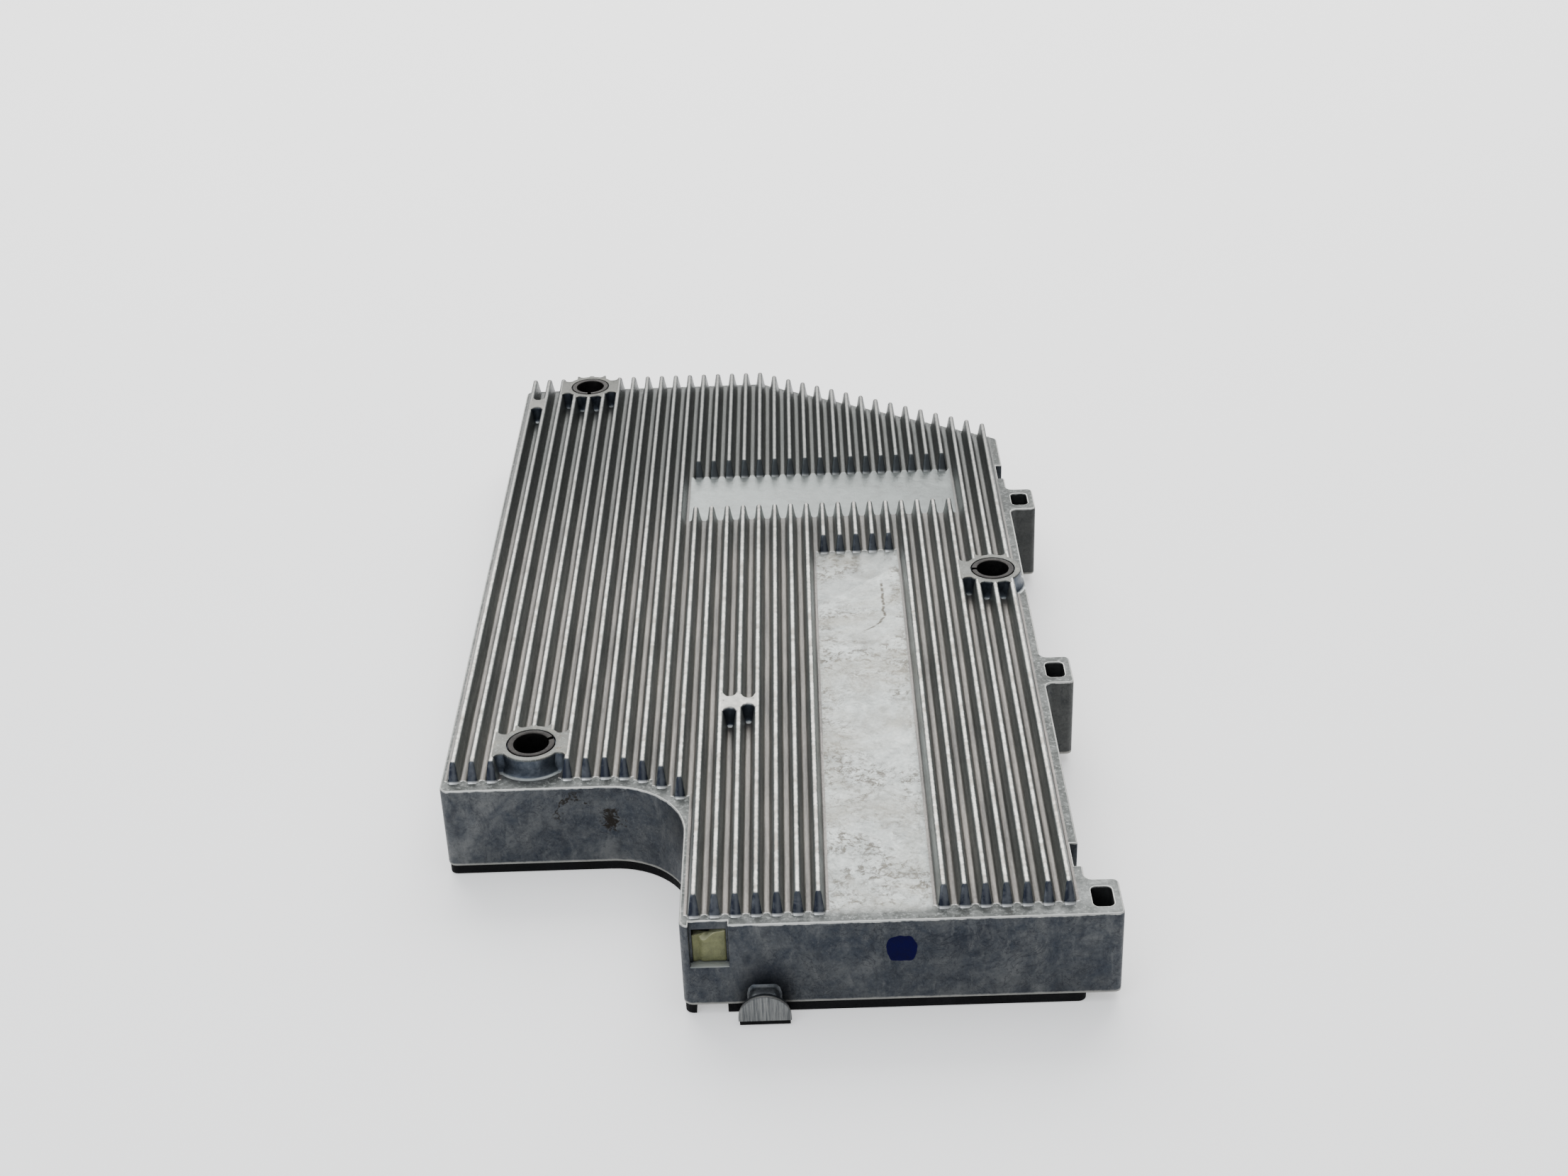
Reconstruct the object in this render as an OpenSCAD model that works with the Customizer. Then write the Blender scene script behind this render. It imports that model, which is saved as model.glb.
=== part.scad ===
// Micro inverter: a finned die-cast housing over a power board, closed by a thin bottom cover.
// The fins run along Y, the tie ears stand on the +X side, and the cover rests on Z = 0.

/* [Casting] */
// Width of the casting across the fins, without the tie ears
body_w = 147; // [122:0.5:180]
// Length of the casting along the fins
body_l = 278; // [230:1:340]
// Height of the cast walls, from the cover to the deck
wall_h = 21.7; // [18.5:0.1:28]
// Thickness of the cast side walls
wall_t = 3; // [2.4:0.1:4]
// Thickness of the cast deck under the fins
deck_t = 2.3; // [1.8:0.1:3.5]
// Width of the sealing flange at the foot of the walls
flange_w = 6.4; // [6:0.1:7]
// Thickness of the sealing flange
flange_t = 2.6; // [2:0.1:2.8]
// Radius of the outside corners
corner_r = 2.2; // [1:0.1:4]
// Width of the step in the front left corner
step_w = 58.4; // [50:0.1:62]
// Depth of the step in the front left corner
step_l = 53.5; // [40:0.5:60]
// Radius of the hollow corner of the step
step_r = 19; // [12:0.5:24]
// Where the slanted rear edge starts, from the left wall
slant_x = 75.2; // [66:0.2:90]
// How far the slanted rear edge runs forward
slant_drop = 45.7; // [30:0.1:50]

/* [Fins] */
// Distance from fin to fin
fin_pitch = 4.5; // [4:0.1:5.4]
// Height of the fins over the deck
fin_h = 4.8; // [3:0.1:8]
// Thickness of a fin at its tip
fin_tip = 0.9; // [0.6:0.1:1.2]
// Thickness of a fin at its root
fin_root = 2.7; // [2:0.1:3]
// Distance from the left wall to the first fin
fin_first = 3.15; // [2.5:0.05:4]
// Smallest distance from the last fin to the right wall
fin_last_gap = 4; // [3.5:0.1:6]
// Slope of the fin ends, as a run over the fin height
fin_end_run = 2.3; // [1:0.1:3]
// Margin from the front edges to the fin roots
fin_front_gap = 3; // [2:0.1:4]
// Margin from the rear edges to the fin roots
fin_rear_gap = 0.4; // [0.2:0.1:2]

/* [Deck features] */
// Distance from the rear edge to the cross recess
recess_from_rear = 66.4; // [55:0.1:80]
// Width of the cross recess along the fins
recess_l = 25.2; // [15:0.1:35]
// Distance from the cross recess to the label pad
pad_from_recess = 23.2; // [15:0.1:35]
// Number of fins that the label pad interrupts
pad_fins = 5; // [3:1:7]
// Width of an ejector pad across the fins
ejector_w = 8.2; // [6:0.1:9]
// Length of an ejector pad along the fins
ejector_l = 6.6; // [4:0.1:9]

/* [Bolt bosses] */
// Outside diameter of the slit bushes
bush_od = 11.4; // [10.5:0.1:12]
// Inside diameter of the slit bushes, for an M8 bolt
bush_id = 8.4; // [8.4:0.1:9]
// Width of the slit in a bush
bush_slit = 0.9; // [0.5:0.1:2]
// Outside diameter of the cast bosses
boss_od = 15.3; // [14:0.1:17]
// Width of the webs that join a boss to the fins beside it
boss_web = 8.8; // [6:0.1:11]
// Distance from the left wall to the left bushes, in fins
boss_fin = 5; // [5:1:6]
// Distance from the step to the front left bush
boss_front_gap = 12.4; // [10:0.1:20]
// Distance from the rear edge to the rear left bush
boss_rear_gap = 8.1; // [8:0.1:14]
// Distance from the front edge to the right bush
boss_right_y = 143.6; // [130:0.1:155]

/* [Tie ears and windows] */
// How far the tie ears stand out of the right wall
ear_w = 7.2; // [6.5:0.1:10]
// Length of a tie ear along the wall
ear_l = 12.4; // [11:0.1:15]
// Width of the slot in an ear
ear_slot_w = 4.6; // [3:0.1:4.8]
// Length of the slot in an ear
ear_slot_l = 7; // [5:0.1:8]
// Distance from the front edge to the middle ear
ear_middle_y = 92.8; // [88:0.1:100]
// Distance from the front edge to the rear ear
ear_rear_y = 186; // [175:0.1:192]
// Width of a wall window
window_w = 8.5; // [6:0.1:9]
// Height of a wall window below the deck
window_h = 11.3; // [8:0.1:12]
// Depth of the step around a window
window_step = 1.9; // [1.5:0.1:2.6]
// Distance from an ear to the window behind it
window_gap = 4.8; // [3:0.1:8]
// Width of the casting stub on the front wall
stub_w = 11.7; // [8:0.1:14]
// How far the casting stub stands out
stub_l = 4.5; // [2:0.1:6]

/* [Cover and board] */
// Thickness of the bottom cover
cover_t = 2.4; // [2.2:0.1:3.5]
// Width of the seal cord
seal_w = 1.4; // [1:0.1:1.6]
// Depth of the seal groove in the cover
seal_h = 1; // [0.6:0.1:1.2]
// Thickness of the circuit board
board_t = 1.6; // [1:0.1:2.4]
// Space between the cover and the circuit board
board_gap = 3; // [2.8:0.1:3.2]
// Diameter of the M3 screws
screw_d = 3; // [2.5:0.5:3]
// Distance from the walls to the cover screws
screw_edge = 9; // [8.5:0.1:10]

/* [Sockets] */
// Width of a cable socket
socket_w = 22; // [18:0.5:24]
// Height of a cable socket
socket_h = 12.4; // [10:0.1:13]
// Depth of a cable socket
socket_l = 20; // [15:0.5:24]
// Wall of a cable socket
socket_wall = 1.8; // [1.2:0.1:2.4]
// Distance from the front edge to the DC socket's centre
dc_socket_y = 45; // [42:0.5:50]
// Distance from the front edge to the AC socket's centre
ac_socket_y = 74; // [70:0.5:77]

/* [Power pieces] */
// Length of the transformer core
core_l = 42; // [36:0.5:44]
// Width of the transformer core
core_w = 28; // [24:0.5:32]
// Thickness of a thermal pad
thermal_t = 0.5; // [0.3:0.1:1]
// Diameter of an input capacitor
can_d = 12.5; // [10:0.5:13]
// Height of an input capacitor
can_h = 13; // [10:0.1:13.4]
// Outside diameter of the filter choke
choke_d = 24; // [18:0.5:26]

/* [Hidden] */

$fn = 48;
cut = 1;
touch = 0.02;
fin_sink = 0.6;

// Levels above the surface that the cover rests on
deck_z = cover_t + wall_h;
top_z = deck_z + fin_h;
roof_z = deck_z - deck_t;
board_z = cover_t + board_gap;
part_z = board_z + board_t;

// Fins
fin_count = floor((body_w - fin_first - fin_last_gap) / fin_pitch) + 1;
function fin_x(fin) = fin_first + (fin - 1) * fin_pitch;
step_fin = floor((step_w - fin_first) / fin_pitch) + 1;
recess_first = step_fin;
recess_last = fin_count - 3;
pad_last = recess_last - 4;
pad_first = pad_last - pad_fins + 1;
recess_y = body_l - recess_from_rear - recess_l;
pad_y = recess_y - pad_from_recess;
step_cx = step_w - step_r;
step_cy = step_l - step_r;
slant_angle = atan2(slant_drop, body_w - slant_x);

// Ejector pads: x, y
middle_ejector = [fin_x(step_fin + 3), recess_y - 104];
rear_ejector = [fin_x(2) - ejector_w / 4, body_l - 19];

// Bolt bosses: x, y, direction of the bush slit
front_left_boss = [fin_x(boss_fin), step_l + boss_front_gap, 22];
rear_left_boss = [fin_x(boss_fin), body_l - boss_rear_gap, -90];
right_boss = [fin_x(fin_count - 1), boss_right_y, 180];
bosses = [front_left_boss, rear_left_boss, right_boss];
bush_gap_w = 0.4;
bush_gap_h = 0.8;
cover_hole_gap = 0.4;

// Tie ears and windows
ear_ys = [0, ear_middle_y, ear_rear_y];
ear_r = 1.4;
ear_slot_r = 0.7;
ear_slot_shift = 0.6;
window_wall = 1.6;
window_frame = 3.5;
window_lip = 0.5;
front_window_x = step_w + 2 + window_w / 2;
front_ear_window_y = ear_l + window_gap + window_w / 2;
rear_ear_window_y = ear_rear_y + ear_l + 3 * window_gap / 2 + window_w / 2;
plug_gap = 0.5;
plug_drop = 1;
stub_x = step_w + 17.8;
stub_h = 7.8;
stub_z = 1.1;
stub_collar = 1.9;
stub_drop = 0.5;
neck_w = stub_w / 3 * 2;
tab_gap = 0.3;
cover_gap_w = 6.9;
cover_gap_l = 3.2;

// Cover, seal and board
cover_inset = 0.3;
seal_inset = wall_t + 0.4;
boss_seal_r = bush_od / 2 + 1.05;
boss_foot_r = boss_seal_r + seal_w + 0.9;
post_r = 3.2;
thread_r = screw_d / 2;
screw_head_r = screw_d * 0.95;
screw_sink = 0.2;
cover_screw_l = 10;
post_clear = 0.8;
board_inset = flange_w + 0.8;
board_hole_r = thread_r + 0.2;
screw_posts = [
    [screw_edge, step_l + 30], [screw_edge, (step_l + body_l) / 2], [screw_edge, body_l - 34],
    [slant_x - 8, body_l - screw_edge], [body_w - screw_edge, body_l - slant_drop - 12],
    [body_w - screw_edge, ear_middle_y + ear_l + 8], [body_w - screw_edge, screw_edge],
    [step_w + screw_edge, window_frame + 18]
];
standoff_r = 3;
standoffs = [
    [fin_x(boss_fin) + 22, step_l + 42], [fin_x(boss_fin) + 22, body_l - 18],
    [slant_x + 22, body_l - slant_drop - 4], [step_w + 13, step_l + 2], [step_w + 12, body_l / 2 + 6]
];
board_screw_l = 7;
board_screw_head = 1.9;

// Sockets
socket_gap = 0.15;
socket_lift = 0.3;
socket_z = part_z + socket_lift;
socket_x = body_w - socket_l;
pin_w = 2;
pin_t = 1;
pin_back = 4;
pin_reach = 12;

// Transformer
transformer_x = body_w - 47;
transformer_y = body_l / 2 + 11;
core_h = roof_z - thermal_t - part_z;
core_plate = 3;
core_leg = 12;
bobbin_t = 1;
winding_gap = 0.3;
winding_drop = 1;
bobbin_low = part_z + core_plate;
bobbin_high = part_z + core_h - core_plate;
bobbin_d = core_l - core_leg - 2 * winding_gap;

// Power transistors, in pairs on both sides of a cast post
transistor_w = 10;
transistor_l = 15;
transistor_h = 4.5;
transistor_x = wall_t + 12;
clip_x = transistor_x + 6;
pair_ys = [step_l + 57, step_l + 117];
pair_pitch = 17;
clip_t = 1;
clip_w = 8;
clip_post_r = 2.8;
transistor_z = roof_z - thermal_t - transistor_h;
lead_w = 1;
lead_t = 0.6;
lead_pitch = 2.54;
lead_out = 3;
lead_lift = 1.5;

// Capacitors, chokes, relays and small parts
can_pitch = can_d + 1.5;
cans_x = step_w + 32;
cans_y = 18;
film_size = [31, 11, 12.5];
film_x = slant_x + 4;
film_ys = [body_l - slant_drop - 44, body_l - slant_drop - 29];
choke_x = body_w - 45;
choke_y = ear_middle_y + ear_l + 2;
choke_h = 9;
choke_hole = 12;
wire_t = 1;
wire_gap = 0.05;
inductor_x = body_w - 30;
inductor_y = body_l - slant_drop - 16;
inductor_d = 20;
inductor_h = 11;
inductor_flange = 2;
relay_size = [20, 10.5, 12];
relay_x = body_w - 56;
relay_ys = [ac_socket_y - 13, ac_socket_y];
fuse_x = step_w + 18;
fuse_y = step_l - 10;
fuse_l = 20;
fuse_d = 5;
fuse_z = part_z + 4;
fuse_clip = [1.6, 4, 6];
varistor_x = step_w + 14;
varistor_y = step_l + 20;
varistor_d = 12;
varistor_t = 4;
varistor_lift = 1.5;
lead_r = 0.4;
chip_h = 1.4;
chips = [
    [step_w - 6, step_l + 45, 12, 12], [step_w - 6, step_l + 66, 7, 7],
    [step_w - 4, body_l - 68, 9, 6], [step_w + 16, step_l + 52, 6, 5]
];

// Moves the design, which is drawn from the left wall and the front wall, over the origin
module placed() {
    translate([-(body_w + ear_w) / 2, -(body_l - stub_l) / 2, 0]) children();
}

// Points of an arc round a centre
function arc(cx, cy, r, from, to, steps = 6) =
    [for (i = [0:steps]) let (a = from + (to - from) * i / steps) [cx + r * cos(a), cy + r * sin(a)]];

// Outline of the casting, moved inwards by inset
module outline(inset) {
    left = inset;
    right = body_w - inset;
    front = inset;
    rear = body_l - inset;
    round_r = max(corner_r - inset, 0.5);
    step_x = step_w + inset;
    step_y = step_l + inset;
    half = slant_angle / 2;
    slant_left = slant_x - inset * tan(half);
    slant_right = body_l - slant_drop - inset * tan(45 - half);
    side_bend = 90 - slant_angle;
    points = concat(
        arc(left + round_r, rear - round_r, round_r, 180, 90),
        arc(slant_left - round_r * tan(half), rear - round_r, round_r, 90, 90 - slant_angle, 3),
        arc(right - round_r, slant_right - round_r * tan(side_bend / 2), round_r, side_bend, 0, 4),
        arc(right - round_r, front + round_r, round_r, 0, -90),
        arc(step_x + round_r, front + round_r, round_r, -90, -180),
        arc(step_cx, step_cy, step_r + inset, 0, 90, 16),
        arc(left + round_r, step_y + round_r, round_r, 270, 180)
    );
    polygon(points);
}

// Slab of the casting's outline between two levels
module slab(inset, low, high) {
    translate([0, 0, low]) linear_extrude(high - low) outline(inset);
}

// Area inside the seal, moved inwards by inset; it goes round the bolt bosses
module sealed_area(inset) {
    difference() {
        outline(seal_inset + inset);
        for (b = bosses) translate([b[0], b[1]]) circle(r = boss_seal_r + inset);
    }
}

// The seal cord's ring between two levels
module seal_ring(low, high) {
    translate([0, 0, low]) linear_extrude(high - low) difference() {
        sealed_area(0);
        sealed_area(seal_w);
    }
}

// Upright column
module column(place, r, low, high) {
    translate([place[0], place[1], low]) cylinder(r = r, h = high - low);
}

// Rectangle with round corners, from its low corner
module round_rect(w, l, r) {
    translate([r, 0]) square([w - 2 * r, l]);
    translate([0, r]) square([w, l - 2 * r]);
    for (x = [r, w - r], y = [r, l - r]) translate([x, y]) circle(r = r);
}

// Box centred in X and Y on a place
module block(place, size, low) {
    translate([place[0] - size[0] / 2, place[1] - size[1] / 2, low]) cube(size);
}

// Profile drawn in Y and Z, run along X
module along_x(from, to) {
    translate([from, 0, 0]) rotate([90, 0, 90]) linear_extrude(to - from) children();
}

// ---- Fins ----

// All fins over the whole length, as one comb
module comb() {
    low = deck_z - fin_sink;
    points = concat(
        [for (fin = [1:fin_count], p = [[-fin_root / 2, deck_z], [-fin_tip / 2, top_z],
            [fin_tip / 2, top_z], [fin_root / 2, deck_z]]) [fin_x(fin) + p[0], p[1]]],
        [[fin_x(fin_count) + fin_root / 2, low], [fin_x(1) - fin_root / 2, low]]
    );
    translate([0, body_l, 0]) rotate([90, 0, 0]) linear_extrude(body_l) polygon(points);
}

// Removes the fins in front of a straight front edge, with sloping fin ends
module front_cut(edge, from, to) {
    root = edge + fin_front_gap;
    over = cut / fin_h * fin_end_run;
    along_x(from, to) polygon([
        [-cut, deck_z - cut], [root - over, deck_z - cut],
        [root + fin_end_run + over, top_z + cut], [-cut, top_z + cut]
    ]);
}

// Removes the fins behind a straight rear edge; run along X from a corner of the outline
module rear_cut(length) {
    over = cut / fin_h * fin_end_run;
    along_x(0, length) polygon([
        [-fin_rear_gap + over, deck_z - cut], [-fin_rear_gap - fin_end_run - over, top_z + cut],
        [body_l / 4, top_z + cut], [body_l / 4, deck_z - cut]
    ]);
}

// Trench across the fins with sloping ends
module trench(from_fin, to_fin, from, to) {
    over = cut / fin_h * fin_end_run;
    along_x(fin_x(from_fin) - fin_pitch / 2, fin_x(to_fin) + fin_pitch / 2) polygon([
        [from, deck_z], [from - fin_end_run - over, top_z + cut],
        [to + fin_end_run + over, top_z + cut], [to, deck_z]
    ]);
}

module fins() {
    cone_r = step_r + fin_front_gap;
    slope = fin_end_run / fin_h;
    split_x = fin_x(step_fin) + fin_pitch / 2;
    difference() {
        comb();
        front_cut(step_l, -cut, step_cx);
        front_cut(0, split_x, body_w + cut);
        translate([-cut, -cut, deck_z - cut]) cube([split_x + cut, step_cy + cut, fin_h + 2 * cut]);
        intersection() {
            translate([step_cx, step_cy, deck_z - cut])
                cylinder(r1 = cone_r - cut * slope, r2 = cone_r + (fin_h + cut) * slope, h = fin_h + 2 * cut);
            translate([0, step_cy - cut, deck_z - cut])
                cube([split_x, step_r * 2, fin_h + 2 * cut]);
        }
        translate([-cut, body_l, 0]) rear_cut(slant_x + cut);
        translate([slant_x, body_l, 0]) rotate(-slant_angle) translate([-cut * 4, 0, 0]) rear_cut(body_w);
        trench(recess_first, recess_last, recess_y, recess_y + recess_l);
        trench(pad_first, pad_last, -body_l, pad_y);
    }
}

// ---- Casting ----

// Boss round a bush, with webs to the fins on both sides
module boss(place, reach) {
    column(place, boss_od / 2, cover_t, top_z);
    translate([place[0] - reach[0], place[1] - boss_web / 2, deck_z - cut])
        cube([reach[0] + reach[1], boss_web, fin_h + cut]);
}

// Thickened wall behind a window; drawn for the front wall, with the window centred on X = 0
module window_block() {
    w = window_w + 2 * window_wall;
    low = deck_z - window_h - window_wall;
    translate([-w / 2, cut, low]) cube([w, window_step + window_frame - cut, roof_z - low + touch]);
}

// Stepped opening of a window, drawn as window_block is
module window_cut() {
    low = deck_z - window_h;
    frame = window_w - 2 * window_lip;
    translate([-window_w / 2, -cut, low]) cube([window_w, window_step + cut, window_h + cut]);
    translate([-frame / 2, 0, low]) cube([frame, window_step + window_frame + cut, roof_z - low]);
}

module at_front_window() {
    translate([front_window_x, 0, 0]) children();
}

module at_right_window(y) {
    translate([body_w, y, 0]) rotate(90) children();
}

module each_window() {
    at_front_window() children();
    at_right_window(front_ear_window_y) children();
    at_right_window(rear_ear_window_y) children();
}

// Tie ear over the whole wall height
module ear(y) {
    translate([body_w - ear_r * 2, y, cover_t])
        linear_extrude(wall_h) round_rect(ear_w + ear_r * 2, ear_l, ear_r);
}

module ear_slot(y) {
    x = body_w + (ear_w - ear_slot_w) / 2 - ear_slot_shift;
    translate([x, y + (ear_l - ear_slot_l) / 2, cover_t - cut])
        linear_extrude(wall_h + 2 * cut) round_rect(ear_slot_w, ear_slot_l, ear_slot_r);
}

// D-shaped stub left from casting: a collar with a sawn face on a narrower neck
module stub_half(r, low, high, from, to) {
    translate([stub_x, -from, 0]) rotate([90, 0, 0]) linear_extrude(to - from) intersection() {
        union() {
            translate([0, high - r]) circle(r = r);
            translate([-r, low]) square([2 * r, high - r - low]);
        }
        translate([-r, low]) square([2 * r, high - low]);
    }
}

module stub() {
    stub_half(stub_w / 2, stub_z, stub_h, stub_l - stub_collar, stub_l);
    stub_half(neck_w / 2, stub_z, stub_h - stub_drop, 0, stub_l - stub_collar);
    stub_half(neck_w / 2, cover_t, stub_h - stub_drop, -cut, 0);
}

// Opening of a socket in the right wall
module socket_cut(y) {
    grow = socket_gap * 2;
    translate([body_w - wall_t - cut, y - socket_w / 2 - socket_gap, socket_z - socket_gap])
        cube([wall_t + 2 * cut, socket_w + grow, socket_h + grow]);
}

module cavity() {
    difference() {
        union() {
            slab(wall_t, cover_t + flange_t, roof_z);
            slab(flange_w, cover_t - cut, cover_t + flange_t + touch);
        }
        for (b = bosses) {
            column(b, boss_od / 2, 0, deck_z);
            column(b, boss_foot_r, 0, cover_t + flange_t);
        }
        for (p = screw_posts) column(p, post_r, 0, deck_z);
        for (s = standoffs) column(s, standoff_r, part_z, deck_z);
        for (y = pair_ys) column([clip_x, y], clip_post_r, transistor_z, deck_z);
        each_window() window_block();
    }
}

module cast_housing() placed() color([0.62, 0.64, 0.65]) {
    reach = 2 * fin_pitch;
    difference() {
        union() {
            slab(0, cover_t, deck_z);
            fins();
            boss(front_left_boss, [reach, reach]);
            boss(rear_left_boss, [reach, reach]);
            boss(right_boss, [reach, fin_pitch]);
            for (e = [middle_ejector, rear_ejector])
                block(e, [ejector_w, ejector_l, fin_h + cut], deck_z - cut);
            for (y = ear_ys) ear(y);
            stub();
        }
        cavity();
        for (b = bosses) {
            column(b, bush_od / 2, cover_t - cut, top_z + cut);
            column(b, bush_od / 2 + bush_gap_w, top_z - bush_gap_h, top_z + cut);
        }
        for (p = screw_posts) column(p, thread_r, cover_t - cut, cover_t + cover_screw_l);
        for (s = standoffs) column(s, thread_r, part_z - cut, part_z + board_screw_l);
        for (y = pair_ys) column([clip_x, y], thread_r, transistor_z - cut, roof_z);
        for (y = ear_ys) ear_slot(y);
        each_window() window_cut();
        socket_cut(dc_socket_y);
        socket_cut(ac_socket_y);
    }
}

// Rolled steel bush with a slit along its side
module bush(b) placed() color([0.42, 0.4, 0.37]) {
    translate([b[0], b[1], 0]) difference() {
        cylinder(d = bush_od, h = top_z);
        translate([0, 0, -cut]) cylinder(d = bush_id, h = top_z + 2 * cut);
        rotate(b[2]) translate([0, -bush_slit / 2, -cut]) cube([bush_od, bush_slit, top_z + 2 * cut]);
    }
}

module bush_front_left() { bush(front_left_boss); }
module bush_rear_left() { bush(rear_left_boss); }
module bush_right() { bush(right_boss); }

// Soft plug that closes a window from inside; its top stays clear of the opening
module window_plug() color([0.5, 0.5, 0.3]) {
    low = deck_z - window_h;
    frame = window_w - 2 * window_lip;
    depth = window_frame - plug_gap;
    translate([-frame / 2, window_step + plug_gap, low]) cube([frame, depth, roof_z - low - plug_drop]);
}

module front_window_plug() placed() at_front_window() window_plug();
module right_front_window_plug() placed() at_right_window(front_ear_window_y) window_plug();
module right_rear_window_plug() placed() at_right_window(rear_ear_window_y) window_plug();

// ---- Cover ----

// Countersink and head of a flat-head screw
module screw_cone(p) {
    translate([p[0], p[1], screw_sink])
        cylinder(r1 = screw_head_r, r2 = thread_r, h = screw_head_r - thread_r);
}

// Flat-head screw seen from below, with its head just inside the cover
module flat_screw(p) {
    column(p, thread_r, screw_sink, cover_t + cover_screw_l - 1);
    screw_cone(p);
}

module bottom_cover() placed() color([0.05, 0.05, 0.06]) {
    difference() {
        union() {
            slab(cover_inset, 0, cover_t);
            translate([stub_x - stub_w / 2 + tab_gap, -stub_l + tab_gap, 0])
                cube([stub_w - 2 * tab_gap, stub_l + 2, stub_z - 0.1]);
        }
        for (b = bosses) column(b, bush_od / 2 + cover_hole_gap, -cut, cover_t + cut);
        for (p = screw_posts) {
            column(p, thread_r, -cut, cover_t + cut);
            column(p, screw_head_r, -cut, screw_sink);
            screw_cone(p);
        }
        seal_ring(cover_t - seal_h, cover_t + cut);
        translate([front_window_x - cover_gap_w / 2, -cut, -cut])
            cube([cover_gap_w, cover_gap_l + cut, cover_t + 2 * cut]);
    }
}

module cover_seal() placed() color([0.2, 0.2, 0.21]) seal_ring(cover_t - seal_h, cover_t);

module cover_screws() placed() color([0.7, 0.7, 0.72]) {
    for (p = screw_posts) flat_screw(p);
}

// ---- Board ----

module circuit_board() placed() color([0.1, 0.35, 0.18]) {
    difference() {
        slab(board_inset, board_z, part_z);
        for (b = bosses) column(b, boss_od / 2 + post_clear, 0, deck_z);
        for (p = screw_posts) column(p, post_r + post_clear, 0, deck_z);
        for (s = standoffs) column(s, board_hole_r, 0, deck_z);
    }
}

// Pan-head screws that hold the board up against the cast standoffs
module board_screws() placed() color([0.7, 0.7, 0.72]) {
    for (s = standoffs) {
        column(s, thread_r, board_z, part_z + board_screw_l - 1);
        column(s, screw_head_r, board_z - board_screw_head, board_z);
    }
}

// ---- Sockets ----

// Plastic socket, open through the right wall
module socket(y) color([0.08, 0.08, 0.09]) {
    mouth_w = socket_w - 2 * socket_wall;
    mouth_h = socket_h - 2 * socket_wall;
    translate([socket_x, y - socket_w / 2, socket_z]) difference() {
        cube([socket_l, socket_w, socket_h]);
        translate([socket_wall * 2, socket_wall, socket_wall]) cube([socket_l, mouth_w, mouth_h]);
    }
}

// Contacts from the mouth of a socket to the board
module contacts(y, count) color([0.8, 0.65, 0.3]) {
    pitch = (socket_w - 2 * socket_wall) / count;
    z = socket_z + socket_h / 2;
    for (i = [0:count - 1]) {
        py = y + (i - (count - 1) / 2) * pitch - pin_w / 2;
        translate([socket_x - pin_back, py, z]) cube([pin_back + pin_reach, pin_w, pin_t]);
        translate([socket_x - pin_back, py, part_z]) cube([pin_t, pin_w, z - part_z]);
    }
}

module dc_socket() placed() socket(dc_socket_y);
module dc_pins() placed() contacts(dc_socket_y, 2);
module ac_socket() placed() socket(ac_socket_y);
module ac_pins() placed() contacts(ac_socket_y, 3);

// ---- Transformer ----

// Half of an E core with its back plate at the bottom
module core_half() {
    half = core_h / 2;
    leg = core_leg / 2;
    block([0, 0], [core_l, core_w, core_plate], 0);
    for (x = [-1, 1]) block([x * (core_l / 2 - leg / 2), 0], [leg, core_w, half], 0);
    cylinder(d = core_leg, h = half);
}

module at_transformer(z) {
    translate([transformer_x, transformer_y, z]) children();
}

module transformer_core_lower() placed() color([0.2, 0.2, 0.22]) at_transformer(part_z) core_half();
module transformer_core_upper() placed() color([0.2, 0.2, 0.22])
    at_transformer(part_z + core_h) mirror([0, 0, 1]) core_half();

module transformer_bobbin() placed() color([0.75, 0.72, 0.6]) at_transformer(0) difference() {
    union() {
        translate([0, 0, bobbin_low]) cylinder(d = core_leg + 2 * bobbin_t, h = bobbin_high - bobbin_low);
        translate([0, 0, bobbin_low]) cylinder(d = bobbin_d, h = bobbin_t);
        translate([0, 0, bobbin_high - bobbin_t]) cylinder(d = bobbin_d, h = bobbin_t);
    }
    cylinder(d = core_leg, h = deck_z);
}

module transformer_winding() placed() color([0.72, 0.4, 0.18])
    at_transformer(bobbin_low + bobbin_t) difference() {
        cylinder(d = bobbin_d - winding_drop, h = bobbin_high - bobbin_low - 2 * bobbin_t);
        translate([0, 0, -cut]) cylinder(d = core_leg + 2 * bobbin_t, h = core_h);
    }

module transformer_pad() placed() color([0.6, 0.65, 0.75])
    block([transformer_x, transformer_y], [core_l, core_w, thermal_t], roof_z - thermal_t);

// ---- Power transistors ----

module each_transistor() {
    for (y = pair_ys, side = [-1, 1])
        translate([transistor_x, y + side * pair_pitch / 2 - transistor_w / 2, 0]) children();
}

module power_transistors() placed() color([0.12, 0.12, 0.13]) each_transistor() {
    translate([0, 0, transistor_z]) cube([transistor_l, transistor_w, transistor_h]);
    lead_z = transistor_z + lead_lift;
    for (i = [-1:1]) translate([transistor_l, transistor_w / 2 + i * lead_pitch - lead_w / 2, 0]) {
        translate([0, 0, lead_z]) cube([lead_out, lead_w, lead_t]);
        translate([lead_out - lead_t, 0, part_z]) cube([lead_t, lead_w, lead_z - part_z]);
    }
}

module transistor_pads() placed() color([0.6, 0.65, 0.75]) each_transistor()
    translate([0, 0, roof_z - thermal_t]) cube([transistor_l, transistor_w, thermal_t]);

// Spring bar across each pair, screwed to the cast post between its two transistors
module transistor_clips() placed() color([0.75, 0.76, 0.78]) for (y = pair_ys) difference() {
    block([clip_x, y], [clip_w, pair_pitch + transistor_w - 2, clip_t], transistor_z - clip_t);
    column([clip_x, y], board_hole_r, 0, deck_z);
}

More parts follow.
